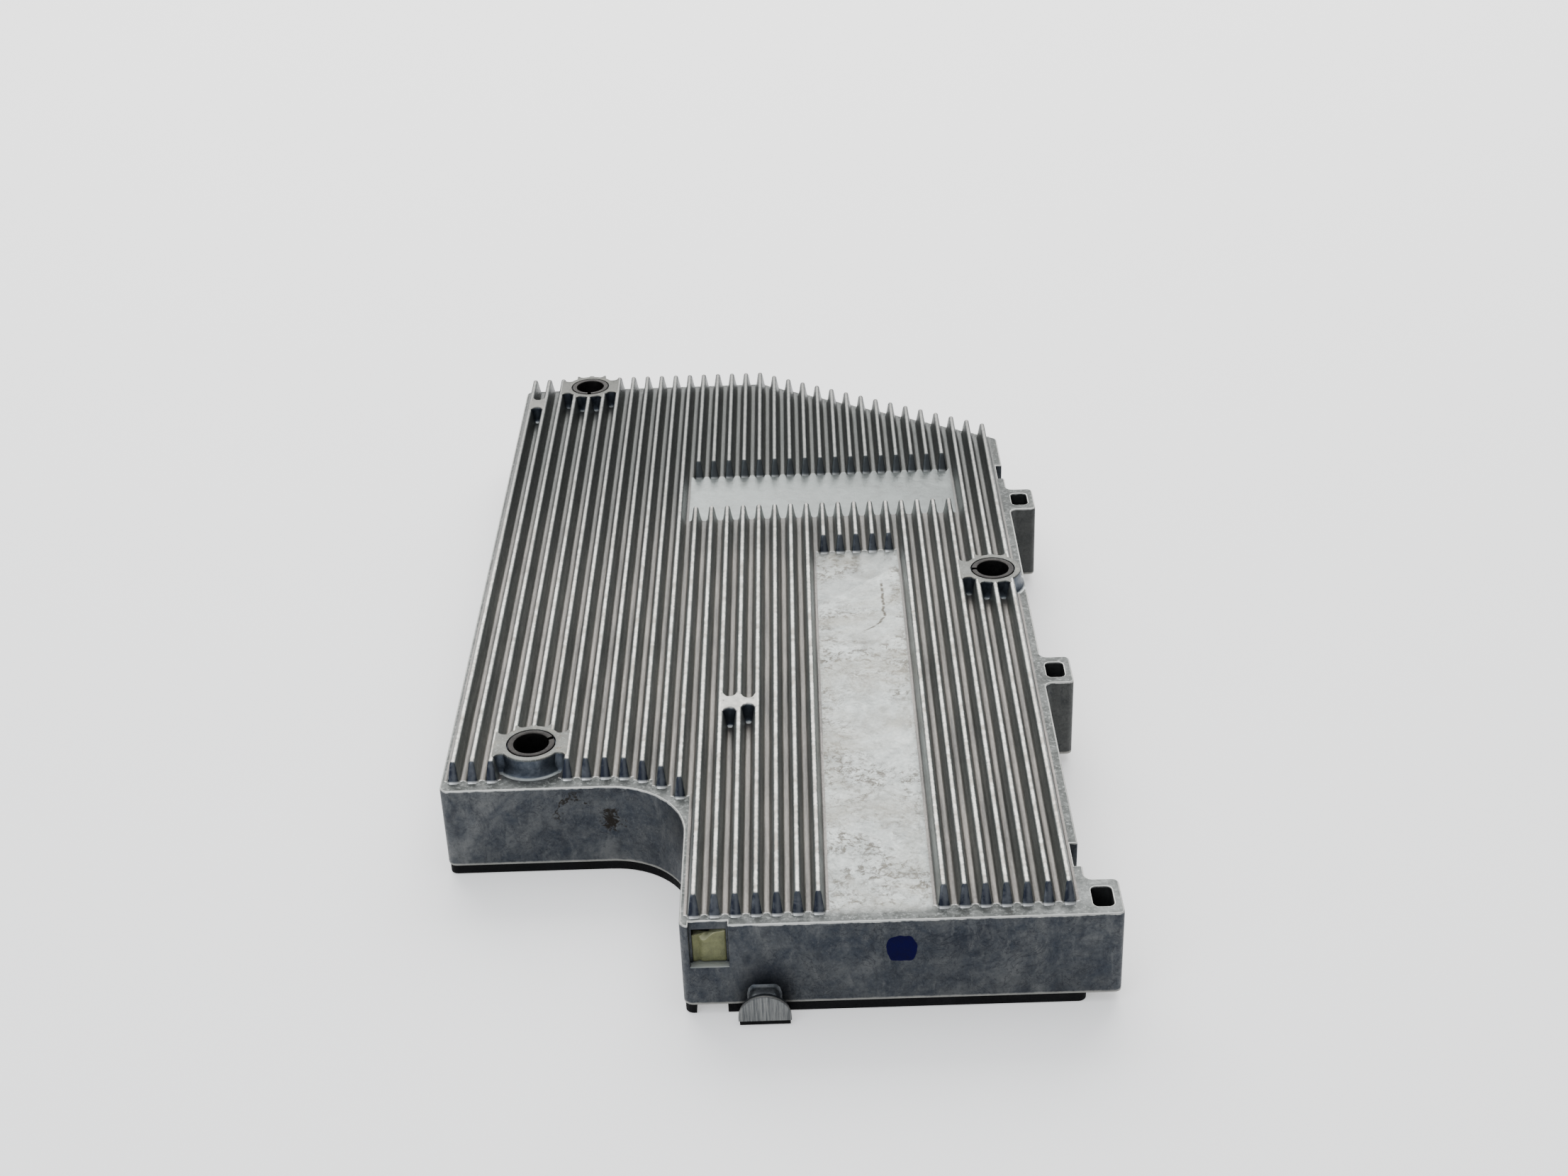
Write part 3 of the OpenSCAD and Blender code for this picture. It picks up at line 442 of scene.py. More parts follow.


# Casting body: pale deck, darker blue-grey walls with painted light on their upward faces, and a rim that is
# partly rubbed and partly a painted highlight
def makeBodyMetal():
    v, n, s = castLook, castNoise, castSpans
    material, tree, shader, place = newMaterial("castBodyMetal", v["metallic"], 0.45)
    skin = grouped(tree, castSkin, {"Coordinates": place, "Blotch Scale": 130.0})
    parts = split(tree, place)
    wide, fleck = noiseOut(tree, place, *n["wide"]), noiseOut(tree, place, *n["fleck"])
    inputs = {"Vector": place, "Rotation": marks["smearTurn"], "Scale": marks["smearScale"]}
    smear = noiseOut(tree, node(tree, "ShaderNodeMapping", inputs).outputs[0], *n["smear"])
    crease = span(tree, awayFromMiddle(tree, noiseOut(tree, place, *n["crease"])), *s["creaseLine"])
    earSide = span(tree, parts[0], leftX + (marks["ears"] - marks["earSoft"]) * mm,
                   leftX + marks["ears"] * mm, 0.0, 0.68)
    earFront = span(tree, parts[1], *[frontY + at * mm for at in marks["earFront"]])
    facing = split(tree, node(tree, "ShaderNodeNewGeometry").outputs["Normal"])
    rust, crack = stainMasks(tree, place)
    wall = layered(
        tree, mixColour(tree, skin["Blotch"], v["wallBlue"], v["wallGrey"]),
        (span(tree, wide, *s["widePale"]), v["wallPale"]), (span(tree, wide, *s["wideDark"]), v["wallDark"]),
        (span(tree, fleck, *s["fleckPale"]), v["wallPale"]),
        (span(tree, fleck, *s["fleckDark"]), v["wallDark"]),
        (span(tree, smear, *s["smearPale"]), v["wallPale"]),
        (span(tree, smear, *s["smearDark"]), v["wallDark"]),
        (product(tree, crease, span(tree, wide, *s["creaseWhere"])), v["wallDark"]),
        (product(tree, earSide, earFront), v["earGrey"]), (product(tree, skin["Vein"], 0.6), v["wallDark"]),
        (product(tree, roundMask(tree, place, marks["shade"], marks["shadeReach"]), 0.75), v["wallDark"]),
        # Upward-facing faces of the walls, such as the window sills, painted pale: painted light from above
        (span(tree, facing[2], *s["upwardLit"]), v["deckPale"]), (rust, v["stain"]), (crack, v["stain"]),
    )

    pad = boxMask(tree, place, *marks["pad"], marks["padSoft"])
    recess = boxMask(tree, place, *marks["recess"], marks["recessSoft"])
    corner = boxMask(tree, place, *marks["corner"], marks["cornerSoft"])
    strip = layered(
        tree, mixColour(tree, skin["Blotch"], v["strip"], v["stripDark"]),
        (rearMask(tree, parts), v["stripRear"]), (span(tree, fleck, *s["stripPale"]), v["deckPale"]),
    )
    broad = layered(tree, mixColour(tree, recess, v["deckPale"], v["recess"]),
                    (span(tree, skin["Blotch"], *s["broadGrey"]), v["deckGrey"]))
    onBroad = calc(tree, "MAXIMUM", calc(tree, "MAXIMUM", pad, recess), calc(tree, "MULTIPLY", corner, 0.2))
    speck = span(tree, noiseOut(tree, place, *n["speck"]), *s["speck"])
    patch = span(tree, noiseOut(tree, place, *n["patch"]), *s["patch"])
    film = span(tree, noiseOut(tree, place, *n["film"]), *s["film"])
    deck = layered(
        tree, mixColour(tree, onBroad, strip, broad),
        (product(tree, skin["Vein"], span(tree, pad, *s["veinOnPad"])), v["glue"]),
        (product(tree, speck, patch, pad, 0.85), v["glue"]), (product(tree, film, pad, 0.6), v["film"]),
        (product(tree, glueLine(tree, parts), 0.95), v["glue"]),
    )

    high = casting["deck"]
    onDeck = span(tree, parts[2], (high - 0.05) * mm, (high - 0.01) * mm)
    rim = {"Coordinates": place, "Low": (high - marks["rubAndHighlightBelow"]) * mm, "High": (high + 1) * mm,
           "Soft": marks["rubAndHighlightSoft"] * mm}
    foot = {"Coordinates": place, "Low": 0.0, "High": (casting["foot"] + marks["footAbove"]) * mm,
            "Soft": marks["footSoft"] * mm}
    # Band on the walls just below the deck: rubbed edge wear together with a painted highlight on the rounded
    # top edge
    rubbedRimAndHighlight = product(tree, grouped(tree, raggedBand, rim)[0], calc(tree, "SUBTRACT", 1.0, onDeck))
    colour = layered(tree, mixColour(tree, onDeck, wall, deck), (rubbedRimAndHighlight, v["edge"]),
                     (product(tree, grouped(tree, raggedBand, foot)[0], 0.7), v["flash"]))
    rough = span(tree, skin["Grain"], 0.3, 0.7, 0.42, 0.60)
    rough = calc(tree, "SUBTRACT", rough, product(tree, recess, onDeck, 0.12))
    dress(tree, shader, colour, rough, skin["Height"], 0.38, 0.00025)
    return material


# Fins, swept along their paths by a node tree
fins = {
    "pitch": 4.5, "first": 3.15, "count": 32, "height": 4.8, "rootWidth": 2.75, "tipWidth": 1.45,
    "frontRun": 2.3, "rearRun": 1.1, "endReach": 0.45, "footDip": 0.4, "dipLength": 1.2, "sink": 0.6,
    "stepMargin": 3.0, "leftMargin": 2.7, "rightMargin": 3.5, "rearMargin": 0.45,
    "recess": (13, 29, 186.4, 211.6), "pad": (21, 25, 163.2), "spacing": 14.0,
    "stations": (0, 0.2, 0.4, 0.6, 0.85, 1.15, 1.5, 1.9, 2.2, 2.45, 2.65, 2.85, 3.05, 3.3, 3.7, 4.4),
    "valleySide": ((-0.02, 0.03), (0.42, 0.05), (0.68, 0.16), (0.86, 0.42)), "flankFoot": (0.1, 0.95),
    "tipTurns": (0, 20, 42, 66), "crownSoft": 1.1, "footSoft": 1.5, "footLow": -0.3, "nose": (-0.6, 0.8),
}
finLook = {
    "valley": (0.215, 0.20, 0.185, 1), "valleyDull": (0.10, 0.097, 0.093, 1),
    "flank": (0.135, 0.147, 0.142, 1), "flankPale": (0.27, 0.285, 0.275, 1),
    # The tip colours are the fin crest: partly rubbed bright metal, partly a painted highlight
    "tip": (0.55, 0.545, 0.515, 1), "tipDull": (0.27, 0.25, 0.22, 1),
    "rear": (0.062, 0.068, 0.067, 1), "tipRear": (0.15, 0.153, 0.148, 1),
    # The end colours are painted shade on the fin end faces, and the pale foot colour is a painted highlight
    # at their feet
    "end": (0.022, 0.027, 0.042, 1), "endShadePale": (0.12, 0.13, 0.145, 1), "endFootHighlight": (0.90, 0.90, 0.87, 1),
    "metallic": 0.85, "valleyTop": (0.08, 0.7), "footTop": (0.15, 0.6), "tipDepth": (0.19, 0.05),
    "tipWaver": 0.6, "ridge": (0.1, 0.65), "litRidgeShift": 0.25,
}


# Fins: dark valleys, streaked flanks, tips partly rubbed bright and partly a painted highlight, drawn ends in
# painted shade with a painted highlight at their feet
def makeFinMetal():
    v, n, s = finLook, castNoise, castSpans
    material, tree, shader, place = newMaterial("castFinMetal", v["metallic"], 0.45)
    skin = grouped(tree, castSkin, {"Coordinates": place, "Blotch Scale": 160.0})
    parts = split(tree, place)
    deck = casting["deck"]
    flank = layered(tree, mixColour(tree, skin["Streak"], v["flank"], v["flankPale"]),
                    (span(tree, skin["Blotch"], *s["flankDull"]), v["flank"]))
    valley = mixColour(tree, skin["Streak"], v["valleyDull"], v["valley"])
    low = span(tree, parts[2], *[(deck + up) * mm for up in v["valleyTop"]], smooth=True)
    facing = split(tree, node(tree, "ShaderNodeNewGeometry").outputs["Normal"])
    # Faces that look along the fins, the fin ends, get painted shade in dark blue, with a painted highlight
    # down a ridge a little right of each fin's middle
    along = calc(tree, "ABSOLUTE", facing[1])
    across = calc(tree, "SUBTRACT", parts[0],
                  leftX + (fins["first"] + v["litRidgeShift"] - fins["pitch"]) * mm)
    across = calc(tree, "PINGPONG", across, fins["pitch"] * mm / 2)
    ridge = span(tree, across, *[out * mm for out in v["ridge"]], 0.75, 0.0)
    drawn = mixColour(tree, span(tree, skin["Blotch"], *s["drawnPale"]), v["end"], v["endShadePale"])
    drawn = mixColour(tree, ridge, drawn, v["endShadePale"])
    # Near-white band at the foot of each fin end face: a painted highlight
    foot = span(tree, parts[2], *[(deck + up) * mm for up in v["footTop"]], 1.0, 0.0)
    colour = layered(tree, mixColour(tree, low, valley, flank), (span(tree, along, *s["drawn"]), drawn),
                     (product(tree, foot, span(tree, along, *s["drawnFoot"])), v["endFootHighlight"]))
    shake = calc(tree, "SUBTRACT", noiseOut(tree, place, *n["ragged"]), 0.5)
    # Crest of each fin, with a ragged edge: partly rubbed bright metal and partly a painted highlight on the
    # rounded tip
    tipLow = calc(tree, "ADD", parts[2], calc(tree, "MULTIPLY", shake, v["tipWaver"] * mm))
    tip = span(tree, tipLow, *[(topLevel - down) * mm for down in v["tipDepth"]])
    rearward = rearMask(tree, parts, 0.85)
    crown = mixColour(tree, span(tree, skin["Blotch"], *s["crownDull"]), v["tip"], v["tipDull"])
    crown = mixColour(tree, rearward, crown, v["tipRear"])
    colour = layered(tree, colour, (rearward, v["rear"]), (tip, crown))
    rough = span(tree, skin["Grain"], 0.3, 0.7, 0.34, 0.52)
    dress(tree, shader, colour, rough, skin["Height"], 0.45, 0.00025)
    return material


# Bosses, webs and pads: pale tops and blue-grey sides
def makeBossMetal(name, pale, grey):
    v, n, s = castLook, castNoise, castSpans
    material, tree, shader, place = newMaterial(name, v["metallic"], 0.45)
    skin = grouped(tree, castSkin, {"Coordinates": place, "Blotch Scale": 190.0})
    parts = split(tree, place)
    side = mixColour(tree, skin["Blotch"], v["towerBlue"], v["towerPale"])
    pits = span(tree, noiseOut(tree, place, *n["pits"]), *s["pits"])
    top = layered(
        tree, mixColour(tree, skin["Blotch"], v[pale], v[grey]),
        (span(tree, skin["Grain"], *s["topPale"]), v["deckPale"]),
        (span(tree, noiseOut(tree, place, *n["cloud"]), *s["topFilm"]), v["film"]),
        (rearMask(tree, parts, 0.8), v["bossGrey"]), (product(tree, pits, 0.8), v["glue"]),
    )
    high = span(tree, parts[2], (topLevel - 0.5) * mm, (topLevel - 0.1) * mm)
    foot = span(tree, parts[2], (casting["deck"] + 0.05) * mm, (casting["deck"] + 0.35) * mm, 1.0, 0.0)
    colour = layered(tree, mixColour(tree, high, side, top), (product(tree, foot, 0.8), v["deckPale"]))
    rough = span(tree, skin["Grain"], 0.3, 0.7, 0.38, 0.56)
    dress(tree, shader, colour, rough, skin["Height"], 0.5, 0.0003)
    return material


bodyMetal, finMetal = makeBodyMetal(), makeFinMetal()
bossMetal = makeBossMetal("castBossMetal", "bossPale", "bossGrey")
padMetal = makeBossMetal("castPadMetal", "padPale", "padGrey")

# Casting body with its cavity, windows, socket mouths, bush bores and ear slots
windows = {
    "width": 8.5, "frame": 7.5, "low": 12.8, "step": 1.9, "depth": 3.5, "side": 1.6,
    "front": 64.65, "right": (21.45, 209.85),
}
sockets = {"centres": (45.0, 74.0), "width": 22.3, "low": 7.15, "high": 19.85}
bosses = {
    "places": {"bush_front_left": (21.15, 65.9, 22.0), "bush_rear_left": (21.15, 269.9, -90.0),
               "bush_right": (138.15, 143.6, 180.0)},
    "bore": 5.7, "outer": 7.65, "web": 8.8,
}
bossShape = {
    "groove": 5.9, "grooveDepth": 0.8, "topRadius": 0.45, "ringMiddle": 6.9, "hollow": 1.3,
    "topRounding": 0.4, "limits": {"bush_rear_left": ("y", 277.8), "bush_right": ("x", 146.8)},
    "webSide": ((2.0, -0.4), (1.7, 0.03), (0.825, 0.22), (0.55, 0.6), (0.44, 1.2)),
    "flare": ((9.2, -0.5), (9.2, -0.02), (8.75, 0.05), (8.35, 0.25), (8.07, 0.75), (7.79, 1.4), (7.67, 2.2)),
    "groovedTop": ((0.25, 0.0), (0.07, 0.07), (0.0, 0.25)),
    "valleys": {"bush_front_left": (-6.75, -2.25, 2.25, 6.75), "bush_rear_left": (-6.75, -2.25, 2.25, 6.75),
                "bush_right": (-6.75, -2.25, 2.25)},
}
ejectors = {
    "middle": {"place": (70.65, 82.4), "valleys": ((-2.25, 3.7, 1.9), (2.25, 2.2, 1.1))},
    "rearLeft": {"place": (5.6, 259.0), "valleys": ((-0.2, 3.4, 2.4),)},
}
ejectorShape = {"hidden": 2.4, "hollow": 2.1, "rounding": 0.8, "lumps": 0.22}
posts = {
    "cover": ((9.0, 83.5), (9.0, 165.75), (9.0, 244.0), (67.2, 269.0), (138.0, 220.3), (138.0, 113.2),
              (138.0, 9.0), (67.4, 21.5)),
    "radius": 3.2, "hole": 1.5, "reach": 10.0,
}


def roundedRect(x, y, w, l, r, steps=5):
    centres = ((x + w - r, y + r), (x + w - r, y + l - r), (x + r, y + l - r), (x + r, y + r))
    points = []
    for start, (cx, cy) in zip((-90, 0, 90, 180), centres):
        points += arcPoints(cx, cy, r, start, start + 90, steps)
    return points


# The same box for the front wall, or turned for the right wall
def windowBox(bm, centre, onFront, sideReach, near, far, low, high):
    if onFront:
        block(bm, (centre - sideReach, near, low), (centre + sideReach, far, high))
    else:
        edge = casting["width"]
        block(bm, (edge - far, centre - sideReach, low), (edge - near, centre + sideReach, high))


def eachWindow():
    return [(windows["front"], True)] + [(y, False) for y in windows["right"]]


def makeBody():
    c, w = casting, windows
    body = bmesh.new()
    outer = castOutline()
    rings = []
    for i in range(4):
        a = math.radians(30 * i)
        level = c["foot"] + c["footRadius"] * (1 - math.cos(a))
        rings.append(lift(insetRing(outer, c["footRadius"] * (1 - math.sin(a))), level))
    for i in range(6):
        a = math.radians(18 * i)
        level = c["deck"] - c["edgeRadius"] * (1 - math.sin(a))
        rings.append(lift(insetRing(outer, c["edgeRadius"] * (1 - math.cos(a))), level))
    ringSolid(body, rings)

    cavity = bmesh.new()
    narrow, wide = castOutline(c["flange"], False), castOutline(c["wall"], False)
    levels = [(narrow, 0.5), (narrow, c["flangeTop"]), (wide, c["flangeTop"]), (wide, c["roof"])]
    ringSolid(cavity, [lift(ring, z) for ring, z in levels])

    frames = bmesh.new()
    for centre, onFront in eachWindow():
        windowBox(frames, centre, onFront, w["width"] / 2 + w["side"], 1.0, w["step"] + w["depth"],
                  w["low"] - w["side"], c["roof"] + 0.5)

    cuts = bmesh.new()
    for centre, onFront in eachWindow():
        windowBox(cuts, centre, onFront, w["width"] / 2, -1.0, w["step"], w["low"], c["deck"] + 1)
    for y in sockets["centres"]:
        block(cuts, (c["width"] - c["wall"] - 1, y - sockets["width"] / 2, sockets["low"]),
              (c["width"] + 1, y + sockets["width"] / 2, sockets["high"]))
    for x, y, _ in bosses["places"].values():
        circle = arcPoints(x, y, bosses["bore"] + 0.6, 0, 352.5, 47)
        ringSolid(cuts, [lift(circle, c["foot"] - 1), lift(circle, topLevel + 1)])
    for start in c["earStarts"]:
        hole = roundedRect(c["slotStart"], start + (c["earLength"] - c["slotLength"]) / 2, c["slotWidth"],
                           c["slotLength"], c["slotRadius"])
        ringSolid(cuts, [lift(hole, c["foot"] - 1), lift(hole, c["deck"] + 1)])

    inner = bmesh.new()
    for centre, onFront in eachWindow():
        windowBox(inner, centre, onFront, w["frame"] / 2, 0.5, w["step"] + w["depth"] + 1,
                  w["low"] + 0.001, c["roof"])

    steps = [("DIFFERENCE", cavity), ("UNION", frames), ("DIFFERENCE", cuts), ("DIFFERENCE", inner)]
    body = booleanSteps(body, steps)
    bmesh.ops.remove_doubles(body, verts=body.verts, dist=0.005)
    bmesh.ops.dissolve_limit(body, angle_limit=math.radians(0.5), verts=body.verts, edges=body.edges)
    softened = [e for e in body.edges if len(e.link_faces) == 2 and isMouth(e)]
    bmesh.ops.bevel(body, geom=softened, offset=c["mouthRadius"], segments=2, profile=0.5, affect="EDGES",
                    clamp_overlap=False)

    # Tubes round the bushes and the screw posts, inside the walls
    for x, y, _ in bosses["places"].values():
        b = bosses["bore"] + 0.02
        turned(body, x, y, [(b, c["foot"] + 0.3), (b, c["deck"] - 0.4), (bosses["outer"], c["deck"] - 0.4),
                            (bosses["outer"], c["foot"] + 0.3)])
    for x, y in posts["cover"]:
        top = c["foot"] + posts["reach"]
        turned(body, x, y, [(posts["hole"], c["foot"] + 0.05), (posts["hole"], top),
                            (posts["radius"], c["roof"] + 0.3), (posts["radius"], c["foot"] + 0.05)], 24)
    return finishPiece(body, "castBody", bodyMetal, ("cast_housing",))


# Edges round the windows, the socket mouths and the tops of the ear slots
def isMouth(edge):
    c, w = casting, windows
    if edge.calc_face_angle(0) < math.radians(60):
        return False
    one, two = edge.verts[0].co, edge.verts[1].co
    middle = (one + two) / 2
    if min(one.z, two.z) < c["foot"] + 1:
        return False
    onRightWall = min(one.x, two.x) > c["width"] - 0.9 and max(one.x, two.x) < c["width"] + 0.01
    onFrontWall = max(one.y, two.y) < 0.9
    onTop = min(one.z, two.z) > c["deck"] - 0.02
    nearBore = any((middle.xy - Vector(p[:2])).length < 8 for p in bosses["places"].values())
    atWindow = abs(middle.x - w["front"]) < w["width"] / 2 + 0.1 and middle.y < w["step"] + 0.1
    atRight = any(abs(middle.y - y) < w["width"] / 2 + 0.1 for y in w["right"])
    atRight = atRight and middle.x > c["width"] - w["step"] - 0.1
    atSocket = any(abs(middle.y - y) < sockets["width"] / 2 + 0.1 for y in sockets["centres"])
    if nearBore:
        return False
    return (onTop and (atWindow or atRight or middle.x > c["width"] + 0.3)) or (onFrontWall and atWindow) \
        or (onRightWall and (atRight or atSocket))


castBody = makeBody()
print("casting body made,", len(castBody.data.polygons), "faces")


def finX(k):
    return fins["first"] + (k - 1) * fins["pitch"]


# Stretches of fin k between its front and rear roots; True marks an end that slopes down to the deck
def finStretches(k):
    f, c = fins, casting
    x = finX(k)
    centreX, centreY = c["stepWidth"] - c["stepRadius"], c["stepLength"] - c["stepRadius"]
    if x < centreX:
        front = c["stepLength"] + f["stepMargin"]
    elif k <= f["recess"][0]:
        front = centreY + math.sqrt((c["stepRadius"] + f["stepMargin"]) ** 2 - (x - centreX) ** 2)
    else:
        front = f["leftMargin"] if k < f["pad"][0] else f["rightMargin"]
    rear = c["length"] - f["rearMargin"]
    if x > c["slantStart"]:
        rear = c["length"] - (x - c["slantStart"]) * math.tan(slantAngle)
        rear -= f["rearMargin"] / math.cos(slantAngle)
    cuts = []
    if f["pad"][0] <= k <= f["pad"][1]:
        cuts.append((front - 5, f["pad"][2], True))
    if f["recess"][0] <= k <= f["recess"][1]:
        cuts.append((f["recess"][2], f["recess"][3], True))
    for pad in ejectors.values():
        x0, y0 = pad["place"]
        if abs(x - x0) < 1:
            cuts.append((y0 - ejectorShape["hidden"], y0 + ejectorShape["hidden"], False))
    for x0, y0, _ in bosses["places"].values():
        if abs(x - x0) < f["pitch"] * 1.5:
            hidden = math.sqrt(bossShape["ringMiddle"] ** 2 - (x - x0) ** 2)
            cuts.append((y0 - hidden, y0 + hidden, False))
    stretches = []
    start, slopes = front, True
    for low, high, sloping in sorted(cuts):
        if low - start > 8:
            stretches.append((start, low, slopes, sloping))
        start, slopes = high, sloping
    if rear - start > 6:
        stretches.append((start, rear, slopes, True))
    return stretches


def makeFinPaths():
    bm = bmesh.new()
    f = fins
    plain = []
    for k in range(1, f["count"] + 1):
        for start, end, frontSlopes, rearSlopes in finStretches(k):
            length = end - start
            front = [s - f["endReach"] for s in f["stations"]] if frontSlopes else [0.0]
            rear = [length - s + f["endReach"] for s in f["stations"]] if rearSlopes else [length]
            inner = max(int((rear[-1] - front[-1]) / f["spacing"]), 1)
            middle = [front[-1] + (rear[-1] - front[-1]) * i / inner for i in range(1, inner)]
            offsets = front + middle + rear[::-1]
            row = [bm.verts.new((finX(k), start + s, 0)) for s in offsets]
            for one, two in zip(row, row[1:]):
                bm.edges.new((one, two))
            plain += [(0.0 if frontSlopes else 1.0, 0.0 if rearSlopes else 1.0)] * len(row)
    bm.transform(toFrame)
    mesh = bpy.data.meshes.new("finPaths")
    bm.to_mesh(mesh)
    bm.free()
    for slot, name in enumerate(("plainFront", "plainRear")):
        attribute = mesh.attributes.new(name, "FLOAT", "POINT")
        attribute.data.foreach_set("value", [row[slot] for row in plain])
    made = bpy.data.objects.new("finPaths", mesh)
    bpy.context.scene.collection.objects.link(made)
    return made


# Closed cross-section of a fin with its half valleys; cap points ride on the cut height, the others stay
def makeFinProfile():
    f = fins
    half, root, tip, high = f["pitch"] / 2, f["rootWidth"] / 2, f["tipWidth"] / 2, f["height"]
    side = [(half - f["valleySide"][0][0], -f["sink"], 0)]
    side += [(half - inwards, z, 0) for inwards, z in f["valleySide"]]
    side.append((root - f["flankFoot"][0], f["flankFoot"][1], 0))
    for a in f["tipTurns"]:
        t = math.radians(a)
        side.append((tip * math.cos(t), high - tip * (1 - math.sin(t)), 1))
    loop = side + [(0.0, high, 1)] + [(-x, z, cap) for x, z, cap in side[::-1]]
    mesh = bpy.data.meshes.new("finProfile")
    edges = [(i, (i + 1) % len(loop)) for i in range(len(loop))]
    mesh.from_pydata([(x * mm, z * mm, 0) for x, z, _ in loop], edges, [])
    for name, values in (("lateral", [p[0] * mm for p in loop]), ("level", [p[1] * mm for p in loop]),
                         ("isCap", [float(p[2]) for p in loop])):
        attribute = mesh.attributes.new(name, "FLOAT", "POINT")
        attribute.data.foreach_set("value", values)
    made = bpy.data.objects.new("finProfile", mesh)
    bpy.context.scene.collection.objects.link(made)
    return made


def makeFinTree():
    tree = bpy.data.node_groups.new("sweptFins", "GeometryNodeTree")
    lengths = ("Deck Level", "Fin Height", "Root Width", "Tip Width", "Front Run", "Rear Run", "End Reach",
               "Foot Dip", "Dip Length")
    sockets = [("Paths", "NodeSocketGeometry"), ("Profile", "NodeSocketObject")]
    sockets += [(label, "NodeSocketFloat") for label in lengths] + [("Metal", "NodeSocketMaterial")]
    for label, kind in sockets:
        tree.interface.new_socket(label, in_out="INPUT", socket_type=kind)
    tree.interface.new_socket("Fins", in_out="OUTPUT", socket_type="NodeSocketGeometry")
    ins, outs = node(tree, "NodeGroupInput").outputs, node(tree, "NodeGroupOutput")

    def stored(geometry, name, value, kind="FLOAT"):
        inputs = {"Geometry": geometry, "Name": name, "Value": value}
        made = node(tree, "GeometryNodeStoreNamedAttribute", inputs, data_type=kind, domain="POINT")
        return made.outputs[0]

    def named(name, kind="FLOAT"):
        return node(tree, "GeometryNodeInputNamedAttribute", {"Name": name}, data_type=kind).outputs[0]

    # Distance from the nearer sloping root, and the height that is left of the fin there
    paths = node(tree, "GeometryNodeMeshToCurve", {"Mesh": ins["Paths"]}).outputs[0]
    along = node(tree, "GeometryNodeSplineParameter").outputs["Length"]
    whole = node(tree, "GeometryNodeSplineLength").outputs["Length"]
    fromFront = calc(tree, "ADD", calc(tree, "SUBTRACT", along, ins["End Reach"]), named("plainFront"))
    remaining = calc(tree, "SUBTRACT", whole, along)
    fromRear = calc(tree, "ADD", calc(tree, "SUBTRACT", remaining, ins["End Reach"]), named("plainRear"))
    fromEnd = calc(tree, "MINIMUM", fromFront, fromRear)
    frontRise = calc(tree, "MULTIPLY", fromFront, calc(tree, "DIVIDE", ins["Fin Height"], ins["Front Run"]))
    rearRise = calc(tree, "MULTIPLY", fromRear, calc(tree, "DIVIDE", ins["Fin Height"], ins["Rear Run"]))
    rising = calc(tree, "MINIMUM", frontRise, rearRise)
    left = calc(tree, "SMOOTH_MIN", rising, ins["Fin Height"], fins["crownSoft"] * mm)
    left = calc(tree, "SMOOTH_MAX", left, fins["footLow"] * mm, fins["footSoft"] * mm)
    paths = stored(paths, "fromEnd", fromEnd)
    paths = stored(paths, "leftHeight", left)
    paths = stored(paths, "pathPlace", node(tree, "GeometryNodeInputPosition").outputs[0], "FLOAT_VECTOR")
    profile = node(tree, "GeometryNodeObjectInfo", {"Object": ins["Profile"]}).outputs["Geometry"]
    profile = node(tree, "GeometryNodeMeshToCurve", {"Mesh": profile}).outputs[0]
    inputs = {"Curve": paths, "Profile Curve": profile, "Fill Caps": True}
    swept = node(tree, "GeometryNodeCurveToMesh", inputs).outputs[0]

    # Cap points drop with the cut height and spread to the fin's width there; foot points dip under the
    # deck at the ends
    lateral, level, isCap, height = named("lateral"), named("level"), named("isCap"), named("leftHeight")
    drop = calc(tree, "SUBTRACT", ins["Fin Height"], height)
    widening = calc(tree, "SUBTRACT", ins["Root Width"], ins["Tip Width"])
    spread = product(tree, calc(tree, "DIVIDE", drop, ins["Fin Height"]), widening, 0.5)
    nose = span(tree, named("fromEnd"), *[at * mm for at in fins["nose"]], 0.3, 1.0)
    nose = calc(tree, "POWER", nose, 0.5)
    capX = calc(tree, "ADD", calc(tree, "MULTIPLY", lateral, nose),
                calc(tree, "MULTIPLY", spread, calc(tree, "SIGN", lateral)))
    capZ = calc(tree, "SUBTRACT", level, drop)
    dip = calc(tree, "MAXIMUM", calc(tree, "SUBTRACT", ins["Dip Length"], named("fromEnd")), 0.0)
    footZ = calc(tree, "SUBTRACT", calc(tree, "MINIMUM", level, height),
                 calc(tree, "MULTIPLY", dip, ins["Foot Dip"]))
    finalX = calc(tree, "ADD", lateral, calc(tree, "MULTIPLY", calc(tree, "SUBTRACT", capX, lateral), isCap))
    finalZ = calc(tree, "ADD", footZ, calc(tree, "MULTIPLY", calc(tree, "SUBTRACT", capZ, footZ), isCap))
    pathParts = split(tree, named("pathPlace", "FLOAT_VECTOR"))
    inputs = {0: calc(tree, "ADD", pathParts[0], finalX), 1: pathParts[1],
              2: calc(tree, "ADD", finalZ, ins["Deck Level"])}
    position = node(tree, "ShaderNodeCombineXYZ", inputs).outputs[0]
    shaped = node(tree, "GeometryNodeSetPosition", {"Geometry": swept, "Position": position}).outputs[0]
    real = node(tree, "GeometryNodeRealizeInstances", {"Geometry": shaped}).outputs[0]
    painted = node(tree, "GeometryNodeSetMaterial", {"Geometry": real, "Material": ins["Metal"]}).outputs[0]
    tree.links.new(painted, outs.inputs[0])
    return tree


